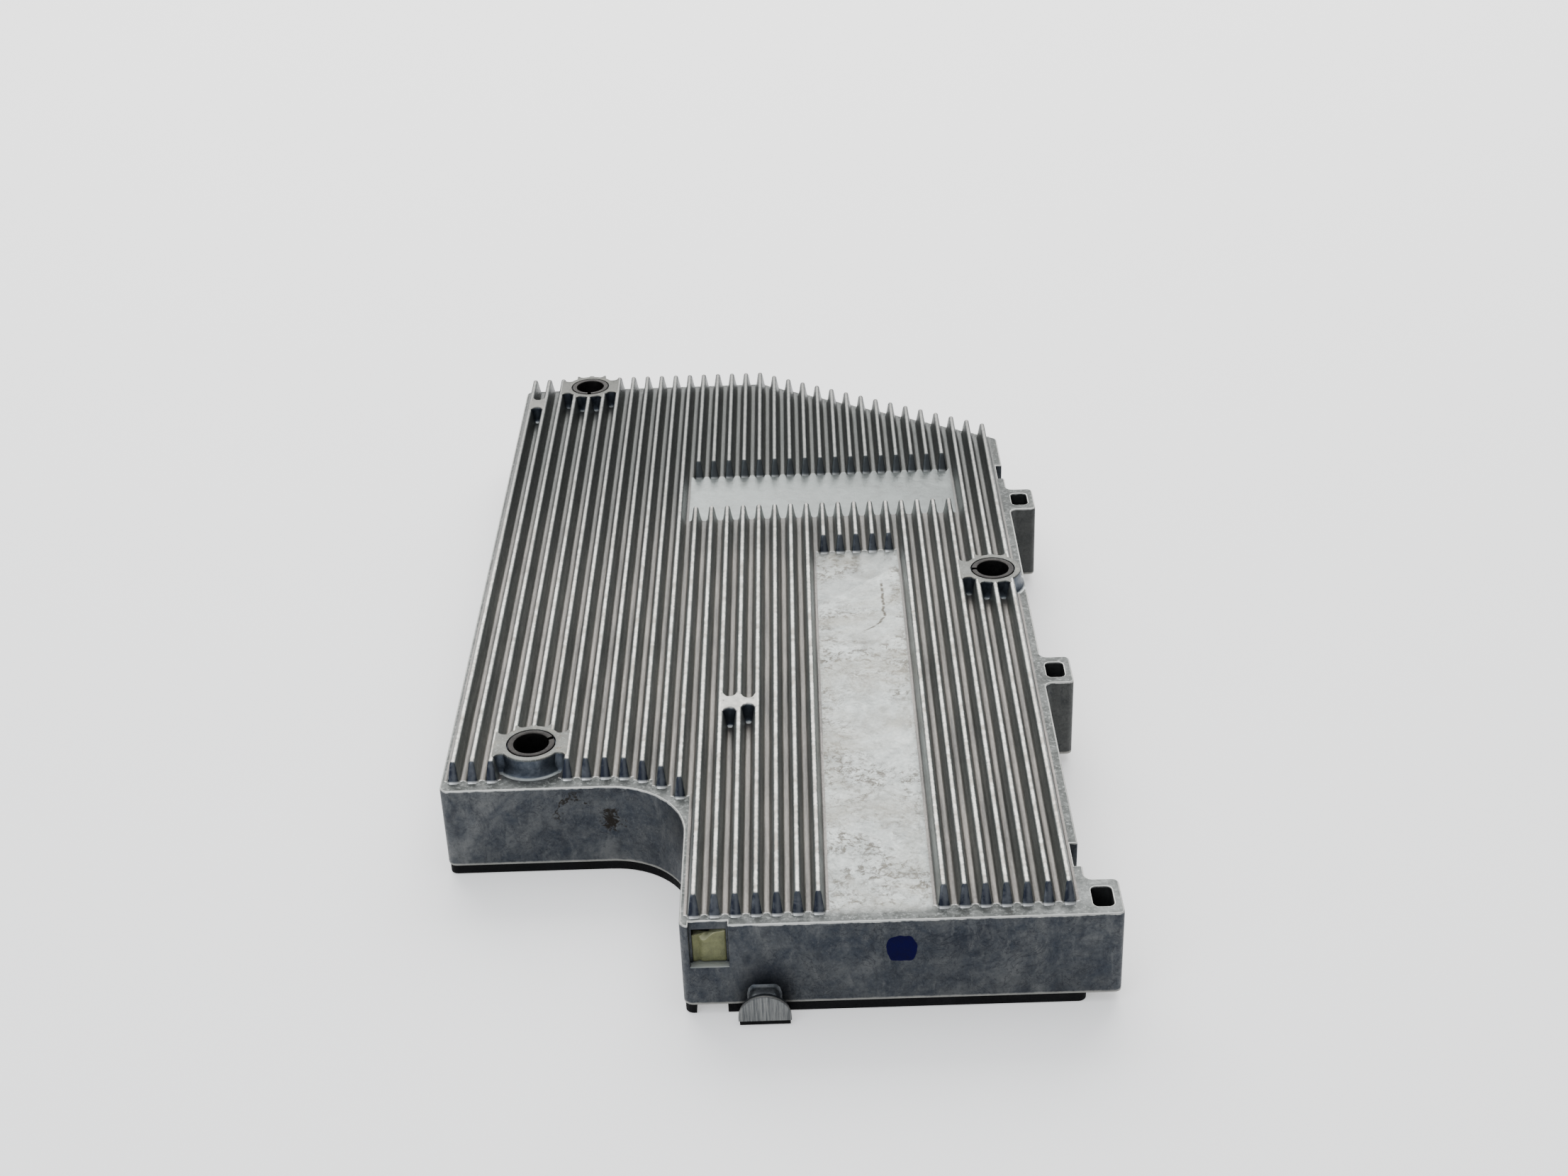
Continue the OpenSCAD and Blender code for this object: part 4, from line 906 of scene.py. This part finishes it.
# Runs a node tree on a holder object; its result is a plain piece that rides on the part
def growPiece(holder, tree, values, name, stands=(), sharpAngle=38):
    modifier = holder.modifiers.new(tree.name, "NODES")
    modifier.node_group = tree
    identifiers = {item.name: item.identifier for item in tree.interface.items_tree if item.in_out == "INPUT"}
    for label, value in values.items():
        modifier[identifiers[label]] = value
    mesh = evaluatedMesh(holder)
    holder.modifiers.remove(modifier)
    bpy.data.objects.remove(holder)
    bm = bmesh.new()
    bm.from_mesh(mesh)
    bmesh.ops.recalc_face_normals(bm, faces=bm.faces)
    bm.to_mesh(mesh)
    bm.free()
    mesh.name = name
    helpers = ("lateral", "level", "isCap", "fromEnd", "leftHeight", "pathPlace", "plainFront", "plainRear")
    for label in helpers:
        if label in mesh.attributes:
            mesh.attributes.remove(mesh.attributes[label])
    mesh.shade_smooth()
    mesh.set_sharp_from_angle(angle=math.radians(sharpAngle))
    piece = bpy.data.objects.new(name, mesh)
    bpy.context.scene.collection.objects.link(piece)
    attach(piece, "root")
    if stands:
        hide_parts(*stands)
    return piece


def makeFins():
    f = fins
    profile = makeFinProfile()
    values = {"Profile": profile, "Deck Level": casting["deck"] * mm, "Fin Height": f["height"] * mm,
              "Root Width": f["rootWidth"] * mm, "Tip Width": f["tipWidth"] * mm,
              "Front Run": f["frontRun"] * mm, "Rear Run": f["rearRun"] * mm, "End Reach": f["endReach"] * mm,
              "Foot Dip": f["footDip"], "Dip Length": f["dipLength"] * mm, "Metal": finMetal}
    piece = growPiece(makeFinPaths(), makeFinTree(), values, "castFins",
                      ("cast_housing",), 50)
    bpy.data.objects.remove(profile)
    return piece


castFins = makeFins()
print("fins grown,", len(castFins.data.polygons), "faces")


# Levels of a web's end: how far it stands out at each height, with a rounded top and a hollow foot
def webLevels(rounding):
    levels = [(out, casting["deck"] + up) for out, up in bossShape["webSide"]]
    for i in range(5):
        a = math.radians(22.5 * i)
        levels.append((-rounding * (1 - math.cos(a)), topLevel - rounding * (1 - math.sin(a)) - 0.01))
    return levels


# Fills one valley on one side of a boss; its end is hollow between the two fins
def valleyPlug(bm, centre, offset, side, reach, inner, limit=None, shape=None):
    half = fins["pitch"] / 2
    deep, rounding, lumps = shape or (bossShape["hollow"], bossShape["topRounding"], 0.0)
    rings = []
    for out, z in webLevels(rounding):
        ring = []
        for i in range(19):
            t = -1 + 2 * i / 18
            hollow = deep * (1 - math.sqrt(1 - min(abs(t) / 0.74, 0.99) ** 2))
            ring.append((offset + t * half, side * (reach + out + hollow)))
        for i in range(9):
            t = 1 - 2 * i / 8
            x = offset + t * half
            ring.append((x, side * math.sqrt(max(inner ** 2 - x ** 2, 0))))
        points = [Vector((centre[0] + x, centre[1] + y, z)) for x, y in ring]
        for p in points:
            if lumps and z > topLevel - 0.3:
                p.z = min(p.z + lumps * (noise.noise(p * 0.7) + 0.2), topLevel)
        rings.append([limit(p) if limit else p for p in points])
    ringSolid(bm, rings)


def makeBosses():
    bm = bmesh.new()
    b, s, deck = bosses, bossShape, casting["deck"]
    for name, (x, y, _) in b["places"].items():
        limit = None
        if name in s["limits"]:
            axis, most = s["limits"][name]

            def limit(p, axis=axis, most=most):
                setattr(p, axis, min(getattr(p, axis), most))
                return p
        outer, inner, r = b["outer"], b["bore"] + 0.03, s["topRadius"]
        rounded = [(outer - r * (1 - math.cos(a)), topLevel - r * (1 - math.sin(a)))
                   for a in (math.radians(18 * i) for i in range(6))]
        floor = topLevel - s["grooveDepth"]
        profile = [(inner, deck - 0.5)] + [(out, deck + up) for out, up in s["flare"]] + rounded
        profile += [(s["groove"] + out, topLevel - down) for out, down in s["groovedTop"]]
        profile += [(s["groove"], floor), (inner, floor)]
        turned(bm, x, y, profile, 72, limit)
        for offset in s["valleys"][name]:
            circle = math.sqrt(max(outer ** 2 - (abs(offset) - 0.4) ** 2, 0))
            reach = max(b["web"] / 2, circle - 0.35)
            for side in (-1, 1):
                if name == "bush_front_left" and side < 0 and abs(offset) < 4:
                    continue  # the front left boss stands clear in front
                valleyPlug(bm, (x, y), offset, side, reach, s["ringMiddle"], limit)
    return finishPiece(bm, "castBosses", bossMetal, ("cast_housing",), 40)


# Lumpy pads that the ejector pins leave across the valleys
def makeEjectorPads():
    bm = bmesh.new()
    e = ejectorShape
    for pad in ejectors.values():
        for offset, front, rear in pad["valleys"]:
            for side, reach in ((-1, front), (1, rear)):
                shape = (e["hollow"], e["rounding"], e["lumps"])
                valleyPlug(bm, pad["place"], offset, side, reach, 0.0, None, shape)
    return finishPiece(bm, "castEjectorPads", padMetal, ("cast_housing",), 50)


makeBosses()
makeEjectorPads()
print("bosses, webs and pads made")

# D-shaped casting stub on the front wall, sawn off flat
stub = {
    "centre": 76.2, "halfWidth": 5.85, "low": 1.1, "high": 7.8, "faceY": -4.5,
    "collar": ((0.25, 0.0), (0.06, 0.12), (0.0, 0.35), (0.05, 1.0), (0.25, 1.55), (0.7, 1.9)),
    "neck": ((3.9, 7.0, -3.0), (3.7, 7.3, -2.6), (3.3, 7.3, -0.9), (3.5, 7.45, -0.3), (4.1, 8.0, 0.3)),
}
stubLook = {
    "cutDark": (0.075, 0.08, 0.083, 1), "cutPale": (0.215, 0.218, 0.212, 1),
    "sideDark": (0.05, 0.057, 0.066, 1), "sidePale": (0.14, 0.147, 0.15, 1), "rim": (0.36, 0.355, 0.335, 1),
    "sawScale": (4200.0, 60.0, 140.0), "sawn": (0.06, 0.16), "rimFront": (0.1, 0.2), "rimRear": (0.4, 0.8),
}


def dShape(halfWidth, low, high, steps=20):
    cut = high - halfWidth
    turn = [math.pi * i / steps for i in range(1, steps)]
    points = [(halfWidth, low), (halfWidth, max(cut, low))]
    points += [(halfWidth * math.cos(a), cut + halfWidth * math.sin(a)) for a in turn]
    return points + [(-halfWidth, max(cut, low)), (-halfWidth, low)]


# Section of the neck behind the collar: flat on top, with sloping shoulders
def neckShape(half, low, high):
    shoulder = ((0.0, 2.4), (0.35, 1.0), (1.0, 0.2), (1.5, 0.0))
    side = [(half, low)] + [(half - inwards, high - down) for inwards, down in shoulder]
    return side + [(-x, z) for x, z in side[::-1]]


def makeStub():
    bm = bmesh.new()
    s = stub
    collar, neck = [], []
    for shrink, back in s["collar"]:
        shape = dShape(s["halfWidth"] - shrink, s["low"] + shrink * 0.5, s["high"] - shrink)
        collar.append([(s["centre"] + x, s["faceY"] + back, z) for x, z in shape])
    for half, high, y in s["neck"]:
        neck.append([(s["centre"] + x, y, z) for x, z in neckShape(half, casting["foot"] - 0.9, high)])
    ringSolid(bm, collar)
    ringSolid(bm, neck)
    return finishPiece(bm, "castStub", makeStubMetal(), ("cast_housing",), 40)


# Sawn face with upright saw lines on duller cast sides, and a painted highlight on the collar's rim just
# behind the face
def makeStubMetal():
    v = stubLook
    material, tree, shader, place = newMaterial("castStubMetal", castLook["metallic"], 0.45)
    skin = grouped(tree, castSkin, {"Coordinates": place, "Blotch Scale": 160.0})
    across = node(tree, "ShaderNodeMapping", {"Vector": place, "Scale": v["sawScale"]}).outputs[0]
    lines = noiseOut(tree, across, 1.0, 3.0, 0.65)

    def behindFace(key, *strengths):
        levels = [frontY + (stub["faceY"] + at) * mm for at in v[key]]
        return span(tree, split(tree, place)[1], *levels, *strengths)

    sawn = behindFace("sawn", 1.0, 0.0)
    # Pale band round the collar just behind the sawn face: a painted highlight
    rim = product(tree, behindFace("rimFront"), behindFace("rimRear", 1.0, 0.0))
    cut = mixColour(tree, span(tree, lines, 0.35, 0.65), v["cutDark"], v["cutPale"])
    side = layered(tree, mixColour(tree, skin["Blotch"], v["sideDark"], v["sidePale"]), (rim, v["rim"]))
    height = calc(tree, "ADD", product(tree, lines, sawn), product(tree, skin["Height"], 0.6))
    rough = span(tree, skin["Grain"], 0.3, 0.7, 0.35, 0.55)
    dress(tree, shader, mixColour(tree, sawn, side, cut), rough, height, 0.4, 0.0003)
    return material


makeStub()

# Slit bushes of rolled steel
bushes = {
    "outer": 5.7, "inner": 4.2, "slit": 0.9, "chamfer": 0.35, "steps": 56,
    "dark": (0.010, 0.009, 0.009, 1), "pale": (0.026, 0.024, 0.022, 1), "rough": (0.38, 0.6),
}


def makeSteel():
    material, tree, shader, place = newMaterial("bushSteel", 0.9, 0.4)
    skin = grouped(tree, castSkin, {"Coordinates": place, "Blotch Scale": 260.0, "Grain Scale": 2600.0})
    colour = mixColour(tree, skin["Blotch"], bushes["dark"], bushes["pale"])
    rough = span(tree, skin["Grain"], 0.3, 0.7, *bushes["rough"])
    dress(tree, shader, colour, rough, skin["Height"], 0.2, 0.0001)
    return material


bushSteel = makeSteel()


def makeBush(nodeName):
    x, y, direction = bosses["places"][nodeName]
    b = bushes
    bm = bmesh.new()
    gap = math.degrees(math.asin(b["slit"] / 2 / b["inner"]))
    c = b["chamfer"]
    top = topLevel - 0.01
    profile = [(b["inner"], c + 0.1), (b["inner"] + c, 0.1), (b["outer"] - c * 0.6, 0.1),
               (b["outer"], c * 0.6 + 0.1), (b["outer"], top - c * 0.6),
               (b["outer"] - c * 0.25, top - c * 0.15), (b["outer"] - c * 0.6, top), (b["inner"] + c, top),
               (b["inner"] + c * 0.3, top - c * 0.3), (b["inner"], top - c)]
    rings = []
    for i in range(b["steps"] + 1):
        a = math.radians(direction + gap + (360 - 2 * gap) * i / b["steps"])
        rings.append([(x + r * math.cos(a), y + r * math.sin(a), z) for r, z in profile])
    ringSolid(bm, rings)
    return finishPiece(bm, nodeName + "Rolled", bushSteel, (nodeName,), 40)


for nodeName in bosses["places"]:
    makeBush(nodeName)
print("stub and bushes made")

# Soft foam plugs behind the windows
plugs = {
    "front_window_plug": (windows["front"], True, 3),
    "right_front_window_plug": (windows["right"][0], False, 8),
    "right_rear_window_plug": (windows["right"][1], False, 13),
}
plugShape = {
    "proud": 0.7, "gap": 0.02, "front": 0.12, "rear": 0.05, "across": 18, "up": 20, "deep": 4,
    "crown": 0.1, "lip": 0.8, "curl": 0.45, "sag": 2.0, "sagAt": -0.3, "sagWidth": 0.42,
    "foldAt": -0.66, "foldWidth": 0.16, "lumps": 0.12,
}
foamLook = {
    "dark": (0.095, 0.10, 0.04, 1), "pale": (0.185, 0.19, 0.085, 1), "pore": (0.05, 0.052, 0.02, 1),
    # The lip colour is a painted highlight on the upward-facing foam at the curled top edge
    "lip": (0.46, 0.46, 0.27, 1), "cellScale": 2400.0, "glow": 0.1, "glowRadius": (0.0008, 0.0007, 0.0004),
}


def makeFoam():
    v = foamLook
    material, tree, shader, place = newMaterial("plugFoam", 0.0, 0.7)
    inputs = {"Vector": place, "Scale": v["cellScale"]}
    cells = node(tree, "ShaderNodeTexVoronoi", inputs).outputs["Distance"]
    cloud = noiseOut(tree, place, 300.0, 5.0, 0.6)
    facing = split(tree, node(tree, "ShaderNodeNewGeometry").outputs["Normal"])
    colour = layered(tree, mixColour(tree, span(tree, cloud, 0.35, 0.65), v["dark"], v["pale"]),
                     (product(tree, span(tree, cells, 0.0, 0.5, 1.0, 0.0), 0.3), v["pore"]),
                     # Upward-facing foam painted pale: a painted highlight along the curled top edge
                     (span(tree, facing[2], 0.3, 0.75), v["lip"]))
    shader.inputs["Subsurface Weight"].default_value = v["glow"]
    shader.inputs["Subsurface Radius"].default_value = v["glowRadius"]
    dress(tree, shader, colour, span(tree, cloud, 0.3, 0.7, 0.55, 0.8), cells, 0.35, 0.0002)
    return material


plugFoam = makeFoam()


# A squeezed slab of foam that fills its opening; its top edge curls down in a hollow
def makePlug(nodeName):
    centre, onFront, seed = plugs[nodeName]
    p = plugShape
    low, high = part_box(nodeName)
    base, top = low.z / mm, high.z / mm + p["proud"]
    half = windows["frame"] / 2 - p["gap"]
    near, far = windows["step"] + p["front"], windows["step"] + windows["depth"] - p["rear"]
    across, deep = p["across"], p["deep"]
    outline = [(-1 + 2 * i / across, 0) for i in range(across)] + [(1, j / deep) for j in range(deep)]
    outline += [(1 - 2 * i / across, 1) for i in range(across)] + [(-1, 1 - j / deep) for j in range(deep)]
    bm = bmesh.new()
    rings = []
    for k in range(p["up"] + 1):
        t = k / p["up"]
        lip = max(t - p["lip"], 0) / (1 - p["lip"])
        ring = []
        for s, d in outline:
            crown = (1 - s ** 4) * (1 - (2 * t - 1) ** 6)
            y = near + (far - near) * d
            if d <= 0.5:
                y -= p["crown"] * crown + p["curl"] * lip * lip
            fold = math.exp(-((s - p["foldAt"]) / p["foldWidth"]) ** 2) * (1 - d) * (0.55 + 0.35 * t)
            y += fold + noise.noise(Vector((s * 1.6, t * 2.2, seed + d))) * p["lumps"]
            sag = p["sag"] * math.exp(-((s - p["sagAt"]) / p["sagWidth"]) ** 2) - 0.5 * s + 0.5
            sag += p["lumps"] * noise.noise(Vector((s * 3, seed, 0)))
            z = base + (top - base - max(sag, 0.0) * (1 + 0.9 * d)) * t
            spot = Vector((centre + s * half, y, z))
            ring.append(spot if onFront else Vector((casting["width"] - spot.y, spot.x, spot.z)))
        rings.append(ring)
    ringSolid(bm, rings)
    for face in [f for f in bm.faces if len(f.verts) > 4]:
        bmesh.ops.poke(bm, faces=[face])
    piece = finishPiece(bm, nodeName + "Foam", plugFoam, (nodeName,), 70)
    smooth = piece.modifiers.new("softer", "SUBSURF")
    smooth.levels = smooth.render_levels = 1
    return piece


for nodeName in plugs:
    makePlug(nodeName)

# Thin dab of dark blue marking paint on the front wall
dab = {
    "centre": (106.2, 16.45), "radius": 3.3, "upright": 1.06, "square": 2.9, "uneven": 0.16, "seed": 4,
    "rings": ((1.0, 0.1), (1.0, -0.01), (0.965, -0.045), (0.9, -0.06), (0.5, -0.069)),
    "dark": (0.0008, 0.0005, 0.016, 1), "pale": (0.002, 0.0012, 0.045, 1), "shine": 0.04,
}


def makePaint():
    material, tree, shader, place = newMaterial("blueMarkingPaint", 0.0, 0.35)
    cloud = noiseOut(tree, place, 500.0, 4.0, 0.6)
    shader.inputs["Specular IOR Level"].default_value = dab["shine"]
    dress(tree, shader, mixColour(tree, cloud, dab["dark"], dab["pale"]),
          span(tree, cloud, 0.3, 0.7, 0.45, 0.65), cloud, 0.3, 0.0001)
    return material


# A rounded square blob with an uneven edge
def makeDab():
    bm = bmesh.new()
    x, z = dab["centre"]
    rings = []
    for part, y in dab["rings"]:
        ring = []
        for i in range(64):
            a = 2 * math.pi * i / 64
            square = abs(math.cos(a)) ** dab["square"] + abs(math.sin(a)) ** dab["square"]
            square = square ** (-1 / dab["square"])
            shake = noise.noise(Vector((math.cos(a) * 1.9, math.sin(a) * 1.9, dab["seed"])))
            r = dab["radius"] * part * square * (1 + dab["uneven"] * shake)
            ring.append((x + r * math.cos(a), y, z + r * math.sin(a) * dab["upright"]))
        rings.append(ring)
    ringSolid(bm, rings)
    return finishPiece(bm, "paintDab", makePaint(), (), 60)


makeDab()
print("plugs and paint dab made")


# Moulded plastic, coated sheet, metal and small parts: one maker, with values for each finish
def makeFinish(name, dark, pale, rough, metallic=0.0, blotch=180.0, grain=1800.0, bump=0.25,
               streaks=False, sheen=0.5):
    material, tree, shader, place = newMaterial(name, metallic, sum(rough) / 2)
    shader.inputs["Specular IOR Level"].default_value = sheen
    skin = grouped(tree, castSkin, {"Coordinates": place, "Blotch Scale": blotch, "Grain Scale": grain})
    mask = skin["Streak"] if streaks else skin["Blotch"]
    dress(tree, shader, mixColour(tree, mask, (*dark, 1), (*pale, 1)),
          span(tree, skin["Grain"], 0.3, 0.7, *rough), skin["Height"], bump, 0.00015)
    return material


# Colours of the board and the wire, and how fine their patterns are
wovenLook = {
    "green": ((0.008, 0.075, 0.03, 1), (0.015, 0.13, 0.055, 1)), "weave": (0.03, 0.17, 0.08, 1),
    "copper": ((0.42, 0.15, 0.05, 1), (0.62, 0.27, 0.10, 1)), "between": (0.10, 0.03, 0.01, 1),
    "weaveScale": 900.0, "turnScale": 260.0,
}


# Woven board laminate under green solder resist
def makeBoardGreen():
    v = wovenLook
    material, tree, shader, place = newMaterial("boardGreen", 0.0, 0.35)
    weave = node(tree, "ShaderNodeTexWave", {"Vector": place, "Scale": v["weaveScale"], "Distortion": 0.4},
                 bands_direction="DIAGONAL").outputs["Fac"]
    cloud = noiseOut(tree, place, 120.0, 5.0, 0.6)
    colour = layered(tree, mixColour(tree, cloud, *v["green"]), (product(tree, weave, 0.2), v["weave"]))
    dress(tree, shader, colour, span(tree, cloud, 0.3, 0.7, 0.25, 0.42), weave, 0.1, 0.0001)
    return material


# Turns of enamelled wire, wound round an upright axis
def makeCopperWire():
    v = wovenLook
    material, tree, shader, place = newMaterial("copperWire", 0.85, 0.35)
    turns = node(tree, "ShaderNodeTexWave", {"Vector": place, "Scale": v["turnScale"], "Distortion": 0.3},
                 bands_direction="Z").outputs["Fac"]
    cloud = noiseOut(tree, place, 200.0, 4.0, 0.6)
    colour = layered(tree, mixColour(tree, cloud, *v["copper"]),
                     (span(tree, turns, 0.0, 0.35, 0.8, 0.0), v["between"]))
    dress(tree, shader, colour, span(tree, cloud, 0.3, 0.7, 0.25, 0.42), turns, 0.7, 0.0004)
    return material


# Dark and pale colour and roughness of each finish, and what else differs from the usual
finishLook = {
    "coverBlack": {"dark": (0.0015, 0.0015, 0.002), "pale": (0.004, 0.004, 0.005), "rough": (0.6, 0.8),
                   "blotch": 90.0, "grain": 2400.0, "bump": 0.4, "sheen": 0.1},
    "sealRubber": {"dark": (0.025, 0.025, 0.027), "pale": (0.05, 0.05, 0.052), "rough": (0.6, 0.8)},
    "screwSteel": {"dark": (0.42, 0.42, 0.42), "pale": (0.62, 0.62, 0.61), "rough": (0.25, 0.4),
                   "metallic": 0.95, "blotch": 400.0, "grain": 2600.0, "bump": 0.15},
    "socketBlack": {"dark": (0.012, 0.012, 0.013), "pale": (0.03, 0.03, 0.032), "rough": (0.42, 0.6),
                    "blotch": 200.0, "grain": 2200.0},
    "contactMetal": {"dark": (0.55, 0.42, 0.18), "pale": (0.75, 0.62, 0.34), "rough": (0.22, 0.38),
                     "metallic": 0.95, "blotch": 400.0, "grain": 2600.0, "bump": 0.1},
    "ferriteGrey": {"dark": (0.03, 0.03, 0.032), "pale": (0.075, 0.073, 0.072), "rough": (0.5, 0.75),
                    "metallic": 0.1, "blotch": 300.0, "grain": 1500.0, "bump": 0.4},
    "bobbinPlastic": {"dark": (0.42, 0.38, 0.27), "pale": (0.56, 0.52, 0.40), "rough": (0.4, 0.55)},
    "thermalPad": {"dark": (0.30, 0.36, 0.46), "pale": (0.42, 0.48, 0.56), "rough": (0.6, 0.8),
                   "blotch": 260.0, "grain": 1500.0, "bump": 0.3},
    "chipBlack": {"dark": (0.014, 0.014, 0.015), "pale": (0.035, 0.035, 0.036), "rough": (0.45, 0.65),
                  "blotch": 500.0, "grain": 2600.0},
    "springSteel": {"dark": (0.45, 0.46, 0.47), "pale": (0.62, 0.63, 0.64), "rough": (0.25, 0.42),
                    "metallic": 0.95, "blotch": 200.0, "grain": 2400.0, "bump": 0.15, "streaks": True},
    "capacitorSleeve": {"dark": (0.012, 0.02, 0.055), "pale": (0.025, 0.04, 0.10), "rough": (0.28, 0.42)},
    "filmBox": {"dark": (0.45, 0.44, 0.40), "pale": (0.60, 0.59, 0.54), "rough": (0.35, 0.5)},
    "relayCase": {"dark": (0.012, 0.03, 0.11), "pale": (0.025, 0.055, 0.18), "rough": (0.3, 0.45)},
    "fuseCeramic": {"dark": (0.62, 0.60, 0.55), "pale": (0.78, 0.77, 0.72), "rough": (0.3, 0.5),
                    "blotch": 300.0},
    "varistorBlue": {"dark": (0.01, 0.05, 0.22), "pale": (0.02, 0.08, 0.32), "rough": (0.3, 0.5),
                     "blotch": 300.0},
}
finishes = {name: makeFinish(name, **values) for name, values in finishLook.items()}
finishes.update(boardGreen=makeBoardGreen(), copperWire=makeCopperWire())
# Which kept nodes wear each finish
wearers = {
    "coverBlack": ("bottom_cover",), "sealRubber": ("cover_seal",), "boardGreen": ("circuit_board",),
    "screwSteel": ("cover_screws", "board_screws", "clip_screws"), "socketBlack": ("dc_socket", "ac_socket"),
    "contactMetal": ("dc_pins", "ac_pins"), "bobbinPlastic": ("transformer_bobbin",),
    "ferriteGrey": ("transformer_core_lower", "transformer_core_upper", "filter_choke_core",
                    "output_inductor_core"),
    "copperWire": ("transformer_winding", "filter_choke_windings", "output_inductor_winding"),
    "thermalPad": ("transformer_pad", "transistor_pads"), "chipBlack": ("power_transistors", "control_chips"),
    "springSteel": ("transistor_clips", "fuse_clips"), "capacitorSleeve": ("input_capacitors",),
    "filmBox": ("film_capacitors",), "relayCase": ("grid_relays",), "fuseCeramic": ("fuse",),
    "varistorBlue": ("varistor",),
}
finishOf = {nodeName: finish for finish, nodeNames in wearers.items() for nodeName in nodeNames}
for nodeName, finish in finishOf.items():
    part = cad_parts[nodeName]
    if not part.material_slots:
        part.data.materials.append(finishes[finish])
    for slot in part.material_slots:
        slot.material = finishes[finish]
print("finishes set on", len(finishOf), "kept parts")

# Pale floor, soft studio light and the camera
studio = {
    "floorSize": 60.0, "floorColour": (0.92, 0.92, 0.915), "floorGlow": 0.5,
    "world": (0.62, 0.65, 0.70), "worldStrength": 0.6,
    "cameraPlace": (0.012276, -0.516369, 0.323503), "aim": (0.004835, 0.008106, 0.0241), "roll": -2.3044,
    "lens": 51.30, "sensor": 36.0, "near": 0.01, "far": 20.0,
}
# Place, size, power and colour of each light; all of them point at the middle of the floor
lights = {
    "backPanel": ((0.0, 1.02, 0.84), (1.8, 0.95), 28.0, (1.0, 0.99, 0.97)),
    "topPanel": ((0.0, 0.1, 1.3), (1.4, 1.4), 12.0, (1, 1, 1)),
    "frontFill": ((-0.7, -0.9, 0.9), (0.8, 0.8), 5.0, (0.86, 0.92, 1.0)),
}


def makeFloor():
    bm = bmesh.new()
    half = studio["floorSize"] / 2
    corners = [(-half, -half), (half, -half), (half, half), (-half, half)]
    bm.faces.new([bm.verts.new((x, y, -0.0002)) for x, y in corners])
    floor = linkMesh(bm, "studioFloor")
    material, tree, shader, place = newMaterial("paleFloor", 0.0, 0.6)
    base = studio["floorColour"]
    cloud = noiseOut(tree, place, 3.0, 2.0, 0.5)
    colour = mixColour(tree, cloud, (*base, 1), (*[v * 1.04 for v in base], 1))
    tree.links.new(colour, shader.inputs["Base Color"])
    shader.inputs["Emission Color"].default_value = (1, 1, 1, 1)
    shader.inputs["Emission Strength"].default_value = studio["floorGlow"]
    floor.data.materials.append(material)


def areaLight(name, place, size, power, colour):
    data = bpy.data.lights.new(name, "AREA")
    data.shape, data.size, data.size_y = "RECTANGLE", size[0], size[1]
    data.energy, data.color = power, colour
    light = bpy.data.objects.new(name, data)
    light.location = place
    light.rotation_euler = (-Vector(place)).to_track_quat("-Z", "Y").to_euler()
    bpy.context.scene.collection.objects.link(light)


def makeCamera():
    data = bpy.data.cameras.new("studioCamera")
    data.lens, data.sensor_width, data.sensor_fit = studio["lens"], studio["sensor"], "HORIZONTAL"
    data.clip_start, data.clip_end = studio["near"], studio["far"]
    camera = bpy.data.objects.new("studioCamera", data)
    place, aim = Vector(studio["cameraPlace"]), Vector(studio["aim"])
    back = (place - aim).normalized()
    sideways = (-back).cross(Vector((0, 0, 1))).normalized()
    upright = sideways.cross(-back)
    turn = math.radians(studio["roll"])
    right = sideways * math.cos(turn) + upright * math.sin(turn)
    up = upright * math.cos(turn) - sideways * math.sin(turn)
    axes = Matrix((right, up, back)).transposed().to_4x4()
    camera.matrix_world = Matrix.Translation(place) @ axes
    bpy.context.scene.collection.objects.link(camera)
    bpy.context.scene.camera = camera


def makeWorld():
    world = bpy.data.worlds.new("studioWorld")
    world.use_nodes = True
    background = world.node_tree.nodes["Background"]
    background.inputs["Color"].default_value = (*studio["world"], 1)
    background.inputs["Strength"].default_value = studio["worldStrength"]
    bpy.context.scene.world = world


makeFloor()
makeCamera()
makeWorld()
for name, values in lights.items():
    areaLight(name, *values)
print("studio made")
